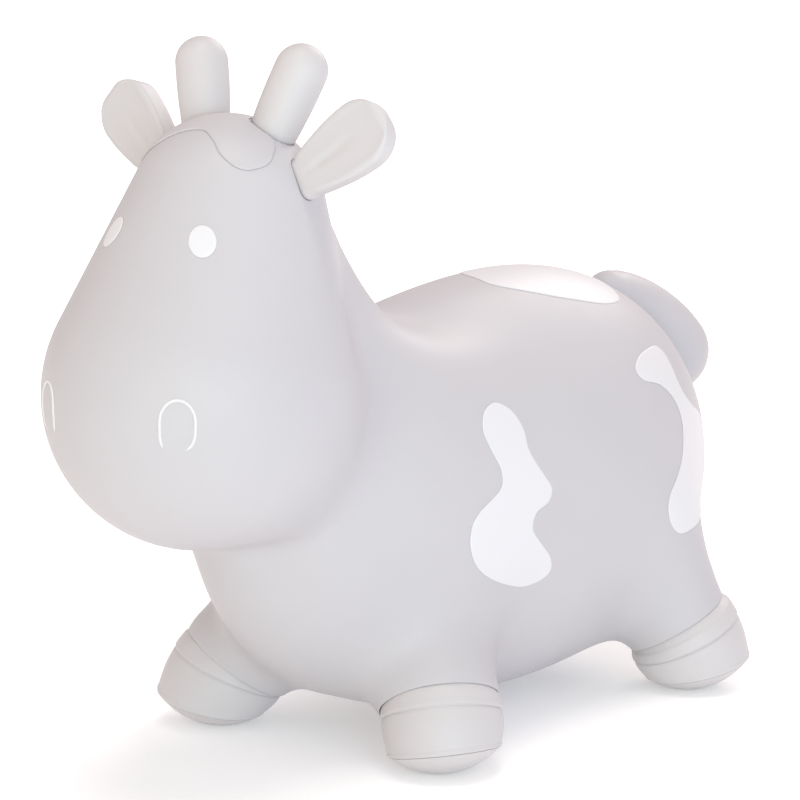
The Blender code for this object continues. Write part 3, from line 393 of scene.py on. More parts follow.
def surfaceNet(field, low, high, cell):
    # one vertex in each grid cell that the surface crosses, at the mean of its edge crossings,
    # and one quad round each grid edge that changes sign
    counts = np.ceil((np.asarray(high) - np.asarray(low)) / cell).astype(int) + 1
    axes = [low[k] + cell * np.arange(counts[k]) for k in range(3)]
    grid = np.stack(np.meshgrid(*axes, indexing="ij"), -1)
    values = np.concatenate([field(slab.reshape(-1, 3)) for slab in np.array_split(grid, 8)]).reshape(counts)
    inside = values < 0
    corners = list(np.ndindex(2, 2, 2))

    def pick(array, corner):
        # the values at one corner of every cell
        return array[tuple(slice(c, n - 1 + c) for c, n in zip(corner, counts))]

    held = sum(pick(inside, corner).astype(np.int8) for corner in corners)
    active = (held > 0) & (held < 8)
    index = np.full(active.shape, -1)
    index[active] = np.arange(active.sum())
    cells = np.argwhere(active)
    total, crossings = np.zeros((len(cells), 3)), np.zeros(len(cells))
    for corner in corners:
        for axis in range(3):
            if corner[axis]:
                continue
            other = tuple(corner[k] + (k == axis) for k in range(3))
            va, vb = pick(values, corner)[active], pick(values, other)[active]
            cross = (va < 0) != (vb < 0)
            share = np.where(cross, va / np.where(cross, va - vb, 1), 0)
            total += (cells + corner + np.eye(3)[axis] * share[:, None]) * cross[:, None]
            crossings += cross
    vertices = np.asarray(low) + cell * total / crossings[:, None]
    quads = []
    for axis in range(3):
        u, v = (axis + 1) % 3, (axis + 2) % 3
        one, two = [slice(1, -1)] * 3, [slice(1, -1)] * 3
        one[axis], two[axis] = slice(0, -1), slice(1, None)
        change = inside[tuple(one)] != inside[tuple(two)]
        spot = np.argwhere(change)
        rising = inside[tuple(one)][change]
        step = np.eye(3, dtype=int)
        round_ = [spot + du * step[u] + dv * step[v] for du, dv in ((0, 0), (1, 0), (1, 1), (0, 1))]
        quad = np.stack([index[tuple(at.T)] for at in round_], 1)
        quads.append(np.where(rising[:, None], quad, quad[:, ::-1]))
    return vertices, np.vstack(quads)


def netShape(field, low, high, cell, fine=None):
    # a surface net eased along the surface and settled on it. fine(points) gives the edge length wanted
    # at a point, and longer edges there are halved
    vertices, quads = surfaceNet(field, low, high, cell)
    edges = np.vstack([quads[:, [k, (k + 1) % 4]] for k in range(4)])
    for _ in range(2):
        vertices = eased(settle(field, vertices, 2), edges)
    vertices = settle(field, vertices)
    if fine is None:
        return vertices, quads
    # two quads with the same diagonal are cut along their other ones
    diagonals = np.sort(quads[:, [0, 2]], 1)
    _, place, uses = np.unique(diagonals, axis=0, return_inverse=True, return_counts=True)
    shared = uses[place.ravel()] > 1
    quads[shared] = np.roll(quads[shared], 1, 1)
    triangles = np.vstack([quads[:, [0, 1, 2]], quads[:, [0, 2, 3]]])
    for _ in range(2):
        vertices, triangles = splitTriangles(vertices, triangles, lambda at, length: length > 1.35 * fine(at))
        edges = np.unique(np.sort(edgesOf(triangles), 1), axis=0)
        small = fine(vertices) < 0.9 * cell
        for _ in range(3):
            moved = settle(field, eased(vertices, edges, 0.5), 2)
            vertices = np.where(small[:, None], moved, vertices)
    return settle(field, vertices), triangles


def setInputs(node, values):
    for label, value in dict(values).items():
        node.inputs[label].default_value = value
    return node


def addNode(tree, kind, values=()):
    return setInputs(tree.nodes.new("ShaderNode" + kind), values)


def wire(tree, *links):
    # each link is a node, its output, the next node and its input
    for source, output, target, entry in links:
        tree.links.new(source.outputs[output], target.inputs[entry])


def vinylGroup():
    # moulded PVC: a slow drift of tone, a fine grain and faint flow marks, all on object coordinates
    group = bpy.data.node_groups.new("softVinyl", "ShaderNodeTree")
    takes = {"Tone": "Color", "Shade": "Color", "Roughness": "Float", "Grain Depth": "Float"}
    gives = {"Colour": "Color", "Roughness": "Float", "Normal": "Vector"}
    for way, labels in (("INPUT", takes), ("OUTPUT", gives)):
        for label, kind in labels.items():
            group.interface.new_socket(name=label, in_out=way, socket_type="NodeSocket" + kind)
    given, made = group.nodes.new("NodeGroupInput"), group.nodes.new("NodeGroupOutput")
    where = addNode(group, "TexCoord")
    drift = addNode(group, "TexNoise", {"Scale": 9, "Detail": 3})
    grain = addNode(group, "TexNoise", {"Scale": 900, "Detail": 4})
    marks = addNode(group, "TexNoise", {"Scale": 70, "Detail": 5})
    spread = addNode(group, "MapRange", {"From Min": 0.35, "From Max": 0.65})
    tone = addNode(group, "Mix")
    tone.data_type = "RGBA"
    rough = addNode(group, "MapRange", {"To Min": -0.05, "To Max": 0.05})
    gloss = addNode(group, "Math")
    gloss.operation = "ADD"
    bump = addNode(group, "Bump", {"Distance": 0.00012})
    wire(group, *[(where, "Object", noise, "Vector") for noise in (drift, grain, marks)],
         (drift, "Fac", spread, "Value"), (spread, "Result", tone, "Factor"),
         (given, "Tone", tone, "A"), (given, "Shade", tone, "B"), (tone, "Result", made, "Colour"),
         (marks, "Fac", rough, "Value"), (given, "Roughness", gloss, 0), (rough, "Result", gloss, 1),
         (gloss, "Value", made, "Roughness"), (given, "Grain Depth", bump, "Strength"),
         (grain, "Fac", bump, "Height"), (bump, "Normal", made, "Normal"))
    return group


softVinyl = vinylGroup()


def newMaterial(name, values):
    # the material, its node tree and its shader
    made = bpy.data.materials.new(name)
    made.use_nodes = True
    return made, made.node_tree, setInputs(made.node_tree.nodes["Principled BSDF"], values)


def vinyl(name, tone, shade, roughness, grain=0.12):
    finish, tree, shader = newMaterial(name, {"Specular IOR Level": 0.35})
    finish.diffuse_color = (*tone, 1)
    coat = addNode(tree, "Group")
    coat.node_tree = softVinyl
    setInputs(coat, {"Tone": (*tone, 1), "Shade": (*shade, 1), "Roughness": roughness, "Grain Depth": grain})
    wire(tree, (coat, "Colour", shader, "Base Color"), (coat, "Roughness", shader, "Roughness"),
         (coat, "Normal", shader, "Normal"))
    return finish


vinyls = {
    "coat_vinyl": vinyl("coatVinyl", (0.544, 0.523, 0.544), (0.532, 0.511, 0.532), 0.46),
    # the limbs' vinyl is the coat's made a little lighter and pinker: painted light on the horns, ears, boots
    # and soles, and painted warm shade
    "limb_vinyl": vinyl("limbVinylPaintedLight", (0.59, 0.563, 0.572), (0.579, 0.552, 0.561), 0.44),
    "white_vinyl": vinyl("whitePaint", (0.72, 0.707, 0.73), (0.71, 0.697, 0.72), 0.42, 0.06),
    "valve_vinyl": vinyl("valveVinyl", (0.7, 0.69, 0.7), (0.67, 0.662, 0.672), 0.35, 0.05),
}


def finished(piece, body, slotName, *nodes):
    piece.data.materials.append(vinyls[slotName])
    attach(piece, body)
    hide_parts(*nodes)
    return piece


def skinGrain(points):
    # edge length wanted: fine beside each hollow, coarser away from it
    return np.clip(cow["coarsening"] * np.abs(socketDistance(points)), cow["fineCell"], cow["cell"])


def socketRings(socket, count=128):
    # rings from the skin over a rounded lip, down the hollow's wall to a pole. A wall point lies along
    # cos(t) axis + sin(t) round, and the edge is the t where the wall meets the skin
    axis, centre, lip = socket["axis"], socket["centre"], socket["lip"]
    first, second = squareTo(axis)
    turn = turns(count)[:, None]
    round_ = np.cos(turn) * first + np.sin(turn) * second

    def wallAt(t):
        ways = np.cos(t)[:, None] * axis + np.sin(t)[:, None] * round_
        return centre + socketReach(socket, ways)[:, None] * ways

    edge = crossing(lambda t: skinDistance(wallAt(t)) > 0, math.pi, count)
    crest = wallAt(edge)
    normals = skinNormals(crest)
    away = crest - centre
    away = unitRows(away - normals * (away * normals).sum(1)[:, None])
    rings = [settle(skinDistance, crest + away * lip * step, 3) for step in (1.9, 1.4, 1.0)]
    bottom = edge + lip / norm(crest - centre, axis=1)
    onWall = wallAt(bottom)
    for s in (0.17, 0.34, 0.5, 0.66, 0.83, 1.0):
        rings.append((1 - s) ** 2 * rings[2] + 2 * s * (1 - s) * crest + s ** 2 * onWall)
    rings += [wallAt(bottom + (math.pi - bottom) * step) for step in np.linspace(0, 1, 14)[1:-1]]
    return np.array(rings), centre - axis * socketReach(socket, -axis[None])[0]


def holeLoops(triangles):
    # closed chains of the edges that only one triangle has
    edges = edgesOf(triangles)
    size = edges.max() + 1
    lone = edges[~np.isin(edges[:, 0] * size + edges[:, 1], edges[:, 1] * size + edges[:, 0])]
    after = dict(lone.tolist())
    loops = []
    while after:
        here = next(iter(after))
        loop = []
        while here in after:
            loop.append(here)
            here = after.pop(here)
        loops.append(np.array(loop))
    return loops, np.bincount(lone[:, 0], minlength=size)


def zipped(vertices, ring, loop):
    # triangles between two closed chains that run the same way, along the shorter diagonals
    loop = np.roll(loop, -norm(vertices[loop] - vertices[ring[0]], axis=1).argmin())
    ring, loop = np.append(ring, ring[0]), np.append(loop, loop[0])
    across = lambda a, b: norm(vertices[a] - vertices[b])
    i, j, faces = 0, 0, []
    while i < len(ring) - 1 or j < len(loop) - 1:
        onRing = across(ring[i + 1], loop[j]) if i < len(ring) - 1 else math.inf
        onLoop = across(loop[j + 1], ring[i]) if j < len(loop) - 1 else math.inf
        if onRing <= onLoop:
            faces.append((ring[i], ring[i + 1], loop[j]))
            i += 1
        else:
            faces.append((loop[j + 1], loop[j], ring[i]))
            j += 1
    return faces


def socketedSkin(vertices, triangles):
    # cut the net back from every hollow and sew the hollow's rings to the edge left
    inside = socketDistance(vertices) < cow["cutBack"]
    kept = triangles[~inside[triangles].any(1)]
    while True:
        loops, uses = holeLoops(kept)
        pinched = np.flatnonzero(uses > 1)
        if not len(pinched):
            break
        kept = kept[~np.isin(kept, pinched).any(1)]
    used, kept = np.unique(kept, return_inverse=True)
    renumber = np.full(len(vertices), -1)
    renumber[used] = np.arange(len(used))
    vertices, kept = vertices[used], kept.reshape(-1, 3)
    loops = [renumber[loop] for loop in loops]
    threes, fours = [kept], []
    for socket in sockets:
        loop = min(loops, key=lambda chain: norm(vertices[chain].mean(0) - socket["centre"]))
        rings, pole = socketRings(socket)
        offset = vertices[loop] - socket["centre"]
        if (np.cross(offset, np.roll(offset, -1, 0)) @ socket["axis"]).sum() < 0:
            rings = rings[:, ::-1]
        rows, count = rings.shape[:2]
        index = len(vertices) + np.arange(rows * count).reshape(rows, count)
        vertices = np.vstack([vertices, rings.reshape(-1, 3), pole])
        turned = np.roll(index, -1, 1)
        fours.append(np.stack([turned[:-1], index[:-1], index[1:], turned[1:]], -1).reshape(-1, 4))
        threes.append(np.array(zipped(vertices, index[0], loop)))
        threes.append(np.stack([turned[-1], index[-1], np.full(count, rows * count + index[0, 0])], 1))
    return vertices, [np.vstack(threes), np.vstack(fours)]


skin = addMesh("skin", *socketedSkin(*netShape(skinDistance, *cow["box"], cow["cell"], skinGrain)))
finished(skin, "body", "coat_vinyl", "body_skin")
print("skin:", len(skin.data.polygons), "faces")


def hornProfile():
    # radius over height: the root ball below, a cone, and the round tip
    root, tip, length = hornShape["rootRadius"], hornShape["tipRadius"], hornShape["length"]
    low, high = np.linspace(-math.pi / 2, 0, 14), np.linspace(0, math.pi / 2, 18)
    share = np.linspace(0, 1, 22)[1:-1]
    below = np.stack([root * np.cos(low), root * np.sin(low)], 1)
    wall = np.stack([root + (tip - root) * share, length * share], 1)
    wall[:, 0] += hornShape["bulge"] * np.sin(math.pi * share)
    above = np.stack([tip * np.cos(high), length + tip * np.sin(high)], 1)
    return np.vstack([below, wall, above])


for side, word in sides:
    horn = turnedPiece(f"{word}Horn", hornProfile(), hornRoot(side), mirrored(hornShape["axis"], side),
                       hornShape["segments"])
    finished(horn, f"{word}_horn", "limb_vinyl", f"{word}_horn")
print("horns made")


def earRings(side, stations=72, count=112):
    # a blunt barrel at the root, then a slab that widens to a round tip. Each section is |x|^p + |y|^p = 1,
    # scaled: p runs from 4 at the root to 7 in front, for a crisp edge, and 5 behind
    root, axis, across, facing = earFrame(side)
    wide, thick = earShape["rootHalfWidth"], earShape["halfThickness"]
    reach, tip = earShape["reach"], earShape["tipRadius"]
    full = reach + tip
    cos, sin = np.cos(turns(count)), np.sin(turns(count))
    blunt = (cos ** 4 + sin ** 4) ** -0.25
    sunk = np.sin(np.linspace(1.5, 0, 14))[:-1, None]
    narrow = wide * (1 - sunk ** 4) ** 0.25 * blunt * cos
    around = thick * (1 - (narrow / wide) ** 4) ** 0.25
    deep = np.sqrt(np.maximum(around ** 2 - (thick * sunk) ** 2, 0)) * np.sign(sin)
    barrel = root - thick * sunk[..., None] * axis + narrow[..., None] * across - deep[..., None] * facing

    station = (full * (1 - (1 - np.linspace(0, 1, stations)) ** 1.6) * 0.9985)[:, None]
    share, past = np.clip(station / reach, 0, 1), np.clip((station - reach) / tip, 0, 1)
    width = (wide + (tip - wide) * np.sin(math.pi / 2 * share)) * np.sqrt(1 - past ** 2)
    depth = thick * np.minimum(1, (width / wide) ** 0.4)
    onward = np.clip(station / earShape["squareRun"], 0, 1)
    power = np.where(sin < 0, 4 + 3 * onward, 4 + onward)
    scale = (np.abs(cos) ** power + np.abs(sin) ** power) ** (-1 / power)
    u, v = scale * cos, scale * sin
    behind = (v + 1) / 2
    rise = np.clip(station / (earShape["dishFrom"] * reach), 0, 1) * np.minimum(width / tip, 1)
    hollow = (earShape["dish"] * np.maximum(0, 1 - (u / earShape["dishHalf"]) ** 6)
              + earShape["groove"] * np.exp(-(u / earShape["grooveHalf"]) ** 2) * (1 - share ** 4))
    v = depth * v + rise * hollow * (sin < 0)
    ahead = station - earShape["backShort"] * behind * (station / full) ** 3
    blade = root + ahead[..., None] * axis + (width * u)[..., None] * across - v[..., None] * facing
    end = root + axis * (full - 0.5 * earShape["backShort"])
    return np.concatenate([barrel, blade]), root - axis * thick, end


for side, word in sides:
    ear = loftedPiece(f"{word}Ear", *earRings(side))
    finished(ear, f"{word}_ear", "limb_vinyl", f"{word}_ear")
print("ears made")


tailStations = [tailLine(share) for share in np.linspace(0, 1, 9)]


def tailDistance(points):
    # balls and cones along a curve, wider than thick, joined to the root ball and held off the rump
    p = np.array(points, float)
    wide = p.copy()
    wide[:, 0] /= 1 + tailShape["widening"]
    shape = np.full(len(p), np.inf)
    for (a, radiusA, _), (b, radiusB, _) in zip(tailStations, tailStations[1:]):
        shape = smoothMin(shape, ballTaper(wide, a, b, radiusA, radiusB), tailShape["blend"])
    shape = -smoothMin(-shape, skinDistance(p) - tailShape["restGap"], tailShape["restBlend"])
    return smoothMin(shape, norm(p - tailRoot, axis=1) - tailRootRadius, tailShape["rootBlend"])


tailVertices, tailQuads = netShape(tailDistance, *tailShape["box"], tailShape["cell"])
tail = addMesh("tailDrop", tailVertices, [tailQuads])
finished(tail, "tail", "coat_vinyl", "tail")
print("tail:", len(tail.data.polygons), "faces")


# a cuff between two creases, and a bead at the hem
boot = {
    "cuffWidth": 0.0095, "cuffRaise": 0.0009, "cuffEdge": 0.0003, "cuffStart": 0.0009,
    "grooveDepth": 0.0008, "grooveWidth": 0.0007, "groovePlace": 0.0004,
    "bulge": 0.0025, "hemRaise": 0.0005, "hemWidth": 0.001, "hemPlace": 0.0014, "segments": 96,
    "sharpAngle": 50, "pastCuff": (0.003, 0.0045), "beforeHem": (0.005, 0.004),  # fine rows and plain ones
}


def bootRings(one, side):
    # rings from the dome over the ankle ball, down the wall, to the rim and up under the sole.
    # The wall is a taper with a bulge, the cuff's step, a dip at the groove and a bead at the hem
    turn = turns(boot["segments"])[:, None]
    length, cuff = norm(one["sole"] - one["ring"]), boot["cuffWidth"]

    def circles(centres, normals, radii):
        normals = unitRows(np.atleast_2d(normals))
        first = unitRows(np.cross(zAxis, normals))
        second = np.cross(normals, first)
        around = np.cos(turn) * first[:, None] + np.sin(turn) * second[:, None]
        return np.atleast_2d(centres)[:, None] + radii[:, None, None] * around

    domeRadii = leg["ringRadius"] * np.sin(np.linspace(0.08, 1.42, 12))
    rise = np.sqrt(ankleRadius ** 2 - domeRadii ** 2)[:, None]
    dome = circles(one["ankle"] - one["ringNormal"] * rise, one["ringNormal"], domeRadii)
    (fineTo, plainFrom), (plainTo, fineFrom) = boot["pastCuff"], boot["beforeHem"]
    along = np.concatenate([np.linspace(0, cuff + fineTo, 40) / length,
                            np.linspace((cuff + plainFrom) / length, 1 - plainTo / length, 16),
                            np.linspace(1 - fineFrom / length, 1, 14)])
    metres = along * length
    taper = leg["ringRadius"] + (leg["soleRadius"] - leg["ringRadius"]) * along
    taper = taper + boot["bulge"] * np.sin(math.pi * along)
    step = 1 / (1 + np.exp((metres - cuff) / boot["cuffEdge"]))
    start = 1 - np.exp(-metres / boot["cuffStart"])
    dip = np.exp(-((metres - cuff - boot["groovePlace"]) / boot["grooveWidth"]) ** 2)
    hem = np.exp(-((metres - length + boot["hemPlace"]) / boot["hemWidth"]) ** 2)
    radii = taper + boot["cuffRaise"] * step * start - boot["grooveDepth"] * dip + boot["hemRaise"] * hem
    centres = one["ring"] + (one["sole"] - one["ring"]) * along[:, None]
    normals = one["ringNormal"] + (one["soleNormal"] - one["ringNormal"]) * along[:, None]
    under = circles(one["sole"], one["soleNormal"], leg["soleRadius"] - np.array((0.0003, 0.0015, 0.006)))
    rings = np.concatenate([dome, circles(centres, normals, radii), under])
    top = one["ankle"] - one["ringNormal"] * ankleRadius
    return rings * (side, 1, 1), mirrored(top, side), mirrored(one["sole"], side)


def soleProfile(one, seam=0.0003):
    # flat back, a small round edge, and the shallow dome that stands on the floor
    rim = leg["soleRadius"] - seam
    angles = np.linspace(math.asin(rim / one["domeRadius"]), 0, 22)
    dome = np.stack([one["domeRadius"] * np.sin(angles), one["domeRadius"] * np.cos(angles) - one["drop"]], 1)
    return np.vstack([[(0, seam), (rim * 0.5, seam), (rim - 0.0004, seam)], dome])


for side, word in sides:
    for end, one in legs.items():
        shell = loftedPiece(f"{word}{end.title()}Boot", *bootRings(one, side), boot["sharpAngle"])
        finished(shell, f"{word}_{end}_foot", "limb_vinyl", f"{word}_{end}_boot")
        sole = turnedPiece(f"{word}{end.title()}Sole", soleProfile(one), mirrored(one["sole"], side),
                           mirrored(one["soleNormal"], side), boot["segments"], boot["sharpAngle"])
        places = np.empty(len(sole.data.vertices) * 3)
        sole.data.vertices.foreach_get("co", places)
        places[2::3] = np.maximum(places[2::3], 0)  # pressed flat where it stands
        sole.data.vertices.foreach_set("co", places)
        finished(sole, f"{word}_{end}_foot", "limb_vinyl", f"{word}_{end}_sole")
print("boots and soles made")


def smoothLoop(points, steps=8):
    # closed Catmull-Rom curve through the points
    knots = np.array(points, float)
    before, after, beyond = np.roll(knots, 1, 0), np.roll(knots, -1, 0), np.roll(knots, -2, 0)
    t = (np.arange(steps) / steps)[:, None, None]
    rows = 0.5 * (2 * knots + (after - before) * t + (2 * before - 5 * knots + 4 * after - beyond) * t ** 2
                  + (3 * knots - before - 3 * after + beyond) * t ** 3)
    return rows.transpose(1, 0, 2).reshape(-1, knots.shape[1])


def runAlong(line):
    # length along a line at each of its points
    return np.concatenate([[0], np.cumsum(norm(np.diff(line, axis=0), axis=1))])


def placesAlong(line, at):
    # points of the line at the given lengths along it
    return np.stack([np.interp(at, runAlong(line), line[:, k]) for k in range(line.shape[1])], 1)


def evenLoop(loop, spacing):
    # the same closed curve with its points evenly spaced
    closed = np.vstack([loop, loop[:1]])
    whole = runAlong(closed)[-1]
    return placesAlong(closed, np.linspace(0, whole, max(int(whole / spacing), 12), endpoint=False))


def edgeDistance(points, loop):
    # distance from each point to a closed line, and whether it is inside, by counting crossings
    a, b = loop, np.roll(loop, -1, 0)
    span = b - a
    offset = points[:, None] - a
    share = np.clip((offset * span).sum(2) / (span ** 2).sum(1), 0, 1)
    distance = norm(offset - share[..., None] * span, axis=2).min(1)
    y = points[:, 1:2]
    crosses = (a[:, 1] > y) != (b[:, 1] > y)
    rise = np.where(b[:, 1] == a[:, 1], 1, b[:, 1] - a[:, 1])
    left = points[:, :1] < a[:, 0] + (y - a[:, 1]) / rise * span[:, 0]
    return distance, (crosses & left).sum(1) % 2 == 1


onSkin = {"top": 0.0006, "foot": 0.0001, "castFrom": 0.06}  # heights, and how deep casting starts


def ontoSkin(flat, origin, across, upwards):
    # flat points cast onto the skin round a place, and the skin's directions there
    outwards = np.cross(across, upwards)
    starts = origin + flat[:, :1] * across + flat[:, 1:] * upwards - outwards * onSkin["castFrom"]
    feet = castOut(starts, outwards)
    return feet, skinNormals(feet)


def skinPatch(name, loop, origin, across, upwards, top=onSkin["top"], rim=0.001, spacing=0.0011,
              cell=0.0026, keep=np.asarray):
    # thin closed shell on the skin that rises from its edge in a quarter round
    loop = evenLoop(loop, spacing)
    tangent = np.roll(loop, -1, 0) - np.roll(loop, 1, 0)
    inward = unitRows(np.stack([-tangent[:, 1], tangent[:, 0]], 1))
    inward *= np.sign((loop[:, 0] * np.roll(loop[:, 1], -1) - np.roll(loop[:, 0], -1) * loop[:, 1]).sum())
    insets = rim * np.array((0, 0.15, 0.45, 0.95, 1.8))
    rows = [loop + inward * inset for inset in insets]
    for k in range(1, len(rows)):
        distance, inside = edgeDistance(rows[k], loop)
        rows[k] = rows[k][inside & (distance > 0.85 * insets[k])]
    low, high = loop.min(0), loop.max(0)
    grid = np.stack(np.meshgrid(*[np.arange(low[k], high[k], cell) for k in (0, 1)], indexing="ij"), -1)
    grid[:, ::2, 0] += cell / 2
    grid = grid.reshape(-1, 2)
    distance, inside = edgeDistance(grid, loop)
    flat = np.vstack([*rows, grid[inside & (distance > insets[-1] + 0.6 * cell)]])
    count = len(loop)
    ringEdges = [(k, (k + 1) % count) for k in range(count)]
    places, _, faces, *_ = delaunay_2d_cdt([Vector(p) for p in flat.tolist()], ringEdges, [], 1, 1e-7)
    flat, faces = np.array([tuple(p) for p in places]), np.array(faces)
    distance, _ = edgeDistance(flat, loop)
    height = top * np.sqrt(1 - (1 - np.clip(distance / rim, 0, 1)) ** 2)
    feet, normals = ontoSkin(flat, origin, across, upwards)
    onRim = distance < 1e-6
    raised = keep(feet + normals * np.where(onRim, onSkin["foot"], height)[:, None])
    lowered = keep(feet + normals * onSkin["foot"])
    twin = np.where(onRim, np.arange(len(flat)), len(flat) + np.cumsum(~onRim) - 1)
    vertices = np.vstack([raised, lowered[~onRim]])
    return addMesh(name, vertices, [np.vstack([faces, twin[faces][:, ::-1]])])


# outlines about their places, as (along the body, up) or, for the back, (across, along)
patches = {
    "flankAt": (-0.034, 0.157), "rumpAt": (0.1565, 0.17), "backAt": (0.01, 0.1065),
    "flank": [
        (0, 0.063), (0.011, 0.059), (0.017, 0.052), (0.02, 0.043), (0.02, 0.033), (0.024, 0.024),
        (0.03, 0.015), (0.036, 0.005), (0.032, -0.003), (0.021, -0.008), (0.018, -0.018), (0.026, -0.028),
        (0.036, -0.039), (0.038, -0.049), (0.028, -0.054), (0.012, -0.0545), (-0.004, -0.05),
        (-0.018, -0.044), (-0.029, -0.036), (-0.035, -0.026), (-0.037, -0.016), (-0.035, -0.006),
        (-0.028, 0.0015), (-0.018, 0.007), (-0.009, 0.0135), (-0.008, 0.023), (-0.012, 0.032),
        (-0.016, 0.041), (-0.0175, 0.05), (-0.012, 0.059)],
    "rump": [
        (-0.01, 0.0595), (-0.001, 0.0575), (0.005, 0.052), (0.0065, 0.044), (0.0075, 0.035), (0.012, 0.026),
        (0.025, 0.0155), (0.039, 0.008), (0.047, -0.005), (0.048, -0.022), (0.041, -0.04), (0.027, -0.05),
        (0.005, -0.0545), (-0.012, -0.0575), (-0.028, -0.0585), (-0.0365, -0.05), (-0.038, -0.04),
        (-0.034, -0.031), (-0.025, -0.0235), (-0.016, -0.0155), (-0.009, -0.007), (-0.005, 0.002),
        (-0.003, 0.011), (-0.0055, 0.021), (-0.012, 0.03), (-0.024, 0.038), (-0.041, 0.043), (-0.045, 0.051),
        (-0.0325, 0.0575)],
    "back": [
        (-0.003, -0.053), (0.01, -0.055), (0.025, -0.043), (0.04, -0.018), (0.048, 0.015), (0.043, 0.042),
        (0.029, 0.055), (0.01, 0.059), (-0.01, 0.055), (-0.028, 0.043), (-0.04, 0.022), (-0.043, -0.003),
        (-0.036, -0.027), (-0.02, -0.045)],
}
for side, word in sides:
    for kind in ("flank", "rump"):
        place = castOut((0, *patches[kind + "At"]), xAxis * side)[0]
        loop = smoothLoop(patches[kind]) * (side, 1)
        patch = skinPatch(f"{word}{kind.title()}Patch", loop, place, yAxis * side, zAxis)
        finished(patch, "body", "white_vinyl", f"{word}_{kind}_patch")
place = castOut((*patches["backAt"], cow["rump"][2]), zAxis)[0]
patch = skinPatch("backPatch", smoothLoop(patches["back"]), place, xAxis, yAxis)
finished(patch, "body", "white_vinyl", "back_patch")
print("coat patches made")

face = {
    "offset": 0.0024, "eyeX": 0.033, "eyeZ": 0.342, "eyeWidth": 0.0165, "eyeHeight": 0.0205,
    "eyeTilt": math.radians(8), "nostrilX": 0.049, "nostrilZ": 0.241, "span": 0.0104, "arch": 0.0125,
    "archLift": 0.004, "leg": 0.0122, "stroke": 0.0018, "fade": 0.004,
    # the line's two ends, in shares of span and leg
    "outerEnd": ((-0.86, -0.95), (-1, -0.5)), "innerEnd": ((0.95, -0.4), (0.77, -0.8), (0.42, -1.08)),
}


def faceFrame(x, z, side):
    # point on the face, its level direction and its upward direction
    point = castOut((x * side + face["offset"], cow["crown"][1], z), (0, -1, 0))[0]
    outwards = skinNormals(point)[0]
    across = unit(np.cross(zAxis, outwards))
    return point, across, np.cross(outwards, across)


def eyeLoop(side):
    # tilted oval
    turn = turns(64)
    u, v = face["eyeWidth"] / 2 * np.cos(turn), face["eyeHeight"] / 2 * np.sin(turn)
    cos, sin = math.cos(-face["eyeTilt"] * side), math.sin(-face["eyeTilt"] * side)
    return np.stack([u * cos + v * sin, v * cos - u * sin], 1)


def nostrilBead(name, side):
    # a round bead along an arch, curling in and thinning out at both ends
    bend = math.pi * np.arange(9) / 8
    arch = np.stack([-face["span"] * np.cos(bend), face["arch"] * np.sin(bend) + face["archLift"]], 1)
    outer, inner = (np.array(face[end]) * (face["span"], face["leg"]) for end in ("outerEnd", "innerEnd"))
    line = np.vstack([outer, arch, inner]) * (side, 1)
    whole = runAlong(line)[-1]
    at = np.linspace(0, whole, 90)
    line = placesAlong(line, at)
    for _ in range(6):  # softens the joins
        line[1:-1] = (line[:-2] + 2 * line[1:-1] + line[2:]) / 4
    feet, normals = ontoSkin(line, *faceFrame(face["nostrilX"], face["nostrilZ"], side))
    sideways = np.cross(normals, unitRows(np.gradient(feet, axis=0)))
    size = face["stroke"] / 2 * np.sqrt(np.clip(np.minimum(at, whole - at) / face["fade"], 0.02, 1))
    turn = turns(20)
    rings = (feet[:, None] + (size[:, None] * np.cos(turn))[..., None] * sideways[:, None]
             + (size[:, None] * np.maximum(np.sin(turn), -0.3) * 0.8)[..., None] * normals[:, None])
    return loftedPiece(name, rings, feet[0], feet[-1])


for side, word in sides:
    eye = skinPatch(f"{word}Eye", eyeLoop(side), *faceFrame(face["eyeX"], face["eyeZ"], side),
                    spacing=0.0008, cell=0.0018)
    finished(eye, "body", "white_vinyl", f"{word}_eye")
    finished(nostrilBead(f"{word}Nostril", side), "body", "white_vinyl", f"{word}_nostril")
print("eyes and nostrils made")

forelock = {
    "direction": (0, -0.35, 0.937), "top": 0.0012, "rim": 0.0014, "hornGap": 0.0006,
    "edge": [
        (-0.044, -0.014), (-0.035, -0.014), (-0.026, -0.0145), (-0.019, -0.012), (-0.01, -0.009),
        (-0.003, -0.007), (0.003, -0.006), (0.008, -0.007), (0.013, -0.01), (0.018, -0.013), (0.023, -0.017),
        (0.029, -0.019), (0.035, -0.019), (0.04, -0.016), (0.043, -0.011), (0.045, -0.005), (0.045, 0.001),
        (0.043, 0.007), (0.04, 0.013), (0.035, 0.017), (0.027, 0.017), (0.016, 0.022), (0.01, 0.034),
        (0, 0.042), (-0.01, 0.034), (-0.016, 0.022), (-0.028, 0.015), (-0.04, 0.013), (-0.046, 0.002),
        (-0.048, -0.008)],
}


def clearOfHorns(points):
    # push points straight out of the two horn roots, up to their running gap
    room = hornShape["rootRadius"] + forelock["hornGap"]
    for side, _ in sides:
        offset = points - hornRoot(side)
        far = norm(offset, axis=1)[:, None]
        points = np.where(far < room, hornRoot(side) + offset / far * room, points)
    return points


outwards = unit(forelock["direction"])
place = np.array(cow["crown"]) + outwards * cow["crownRadius"]
fringe = skinPatch("fringe", smoothLoop(forelock["edge"]), place, xAxis, np.cross(outwards, xAxis),
                   forelock["top"], forelock["rim"], keep=clearOfHorns)
finished(fringe, "body", "coat_vinyl", "forelock")
print("forelock made")


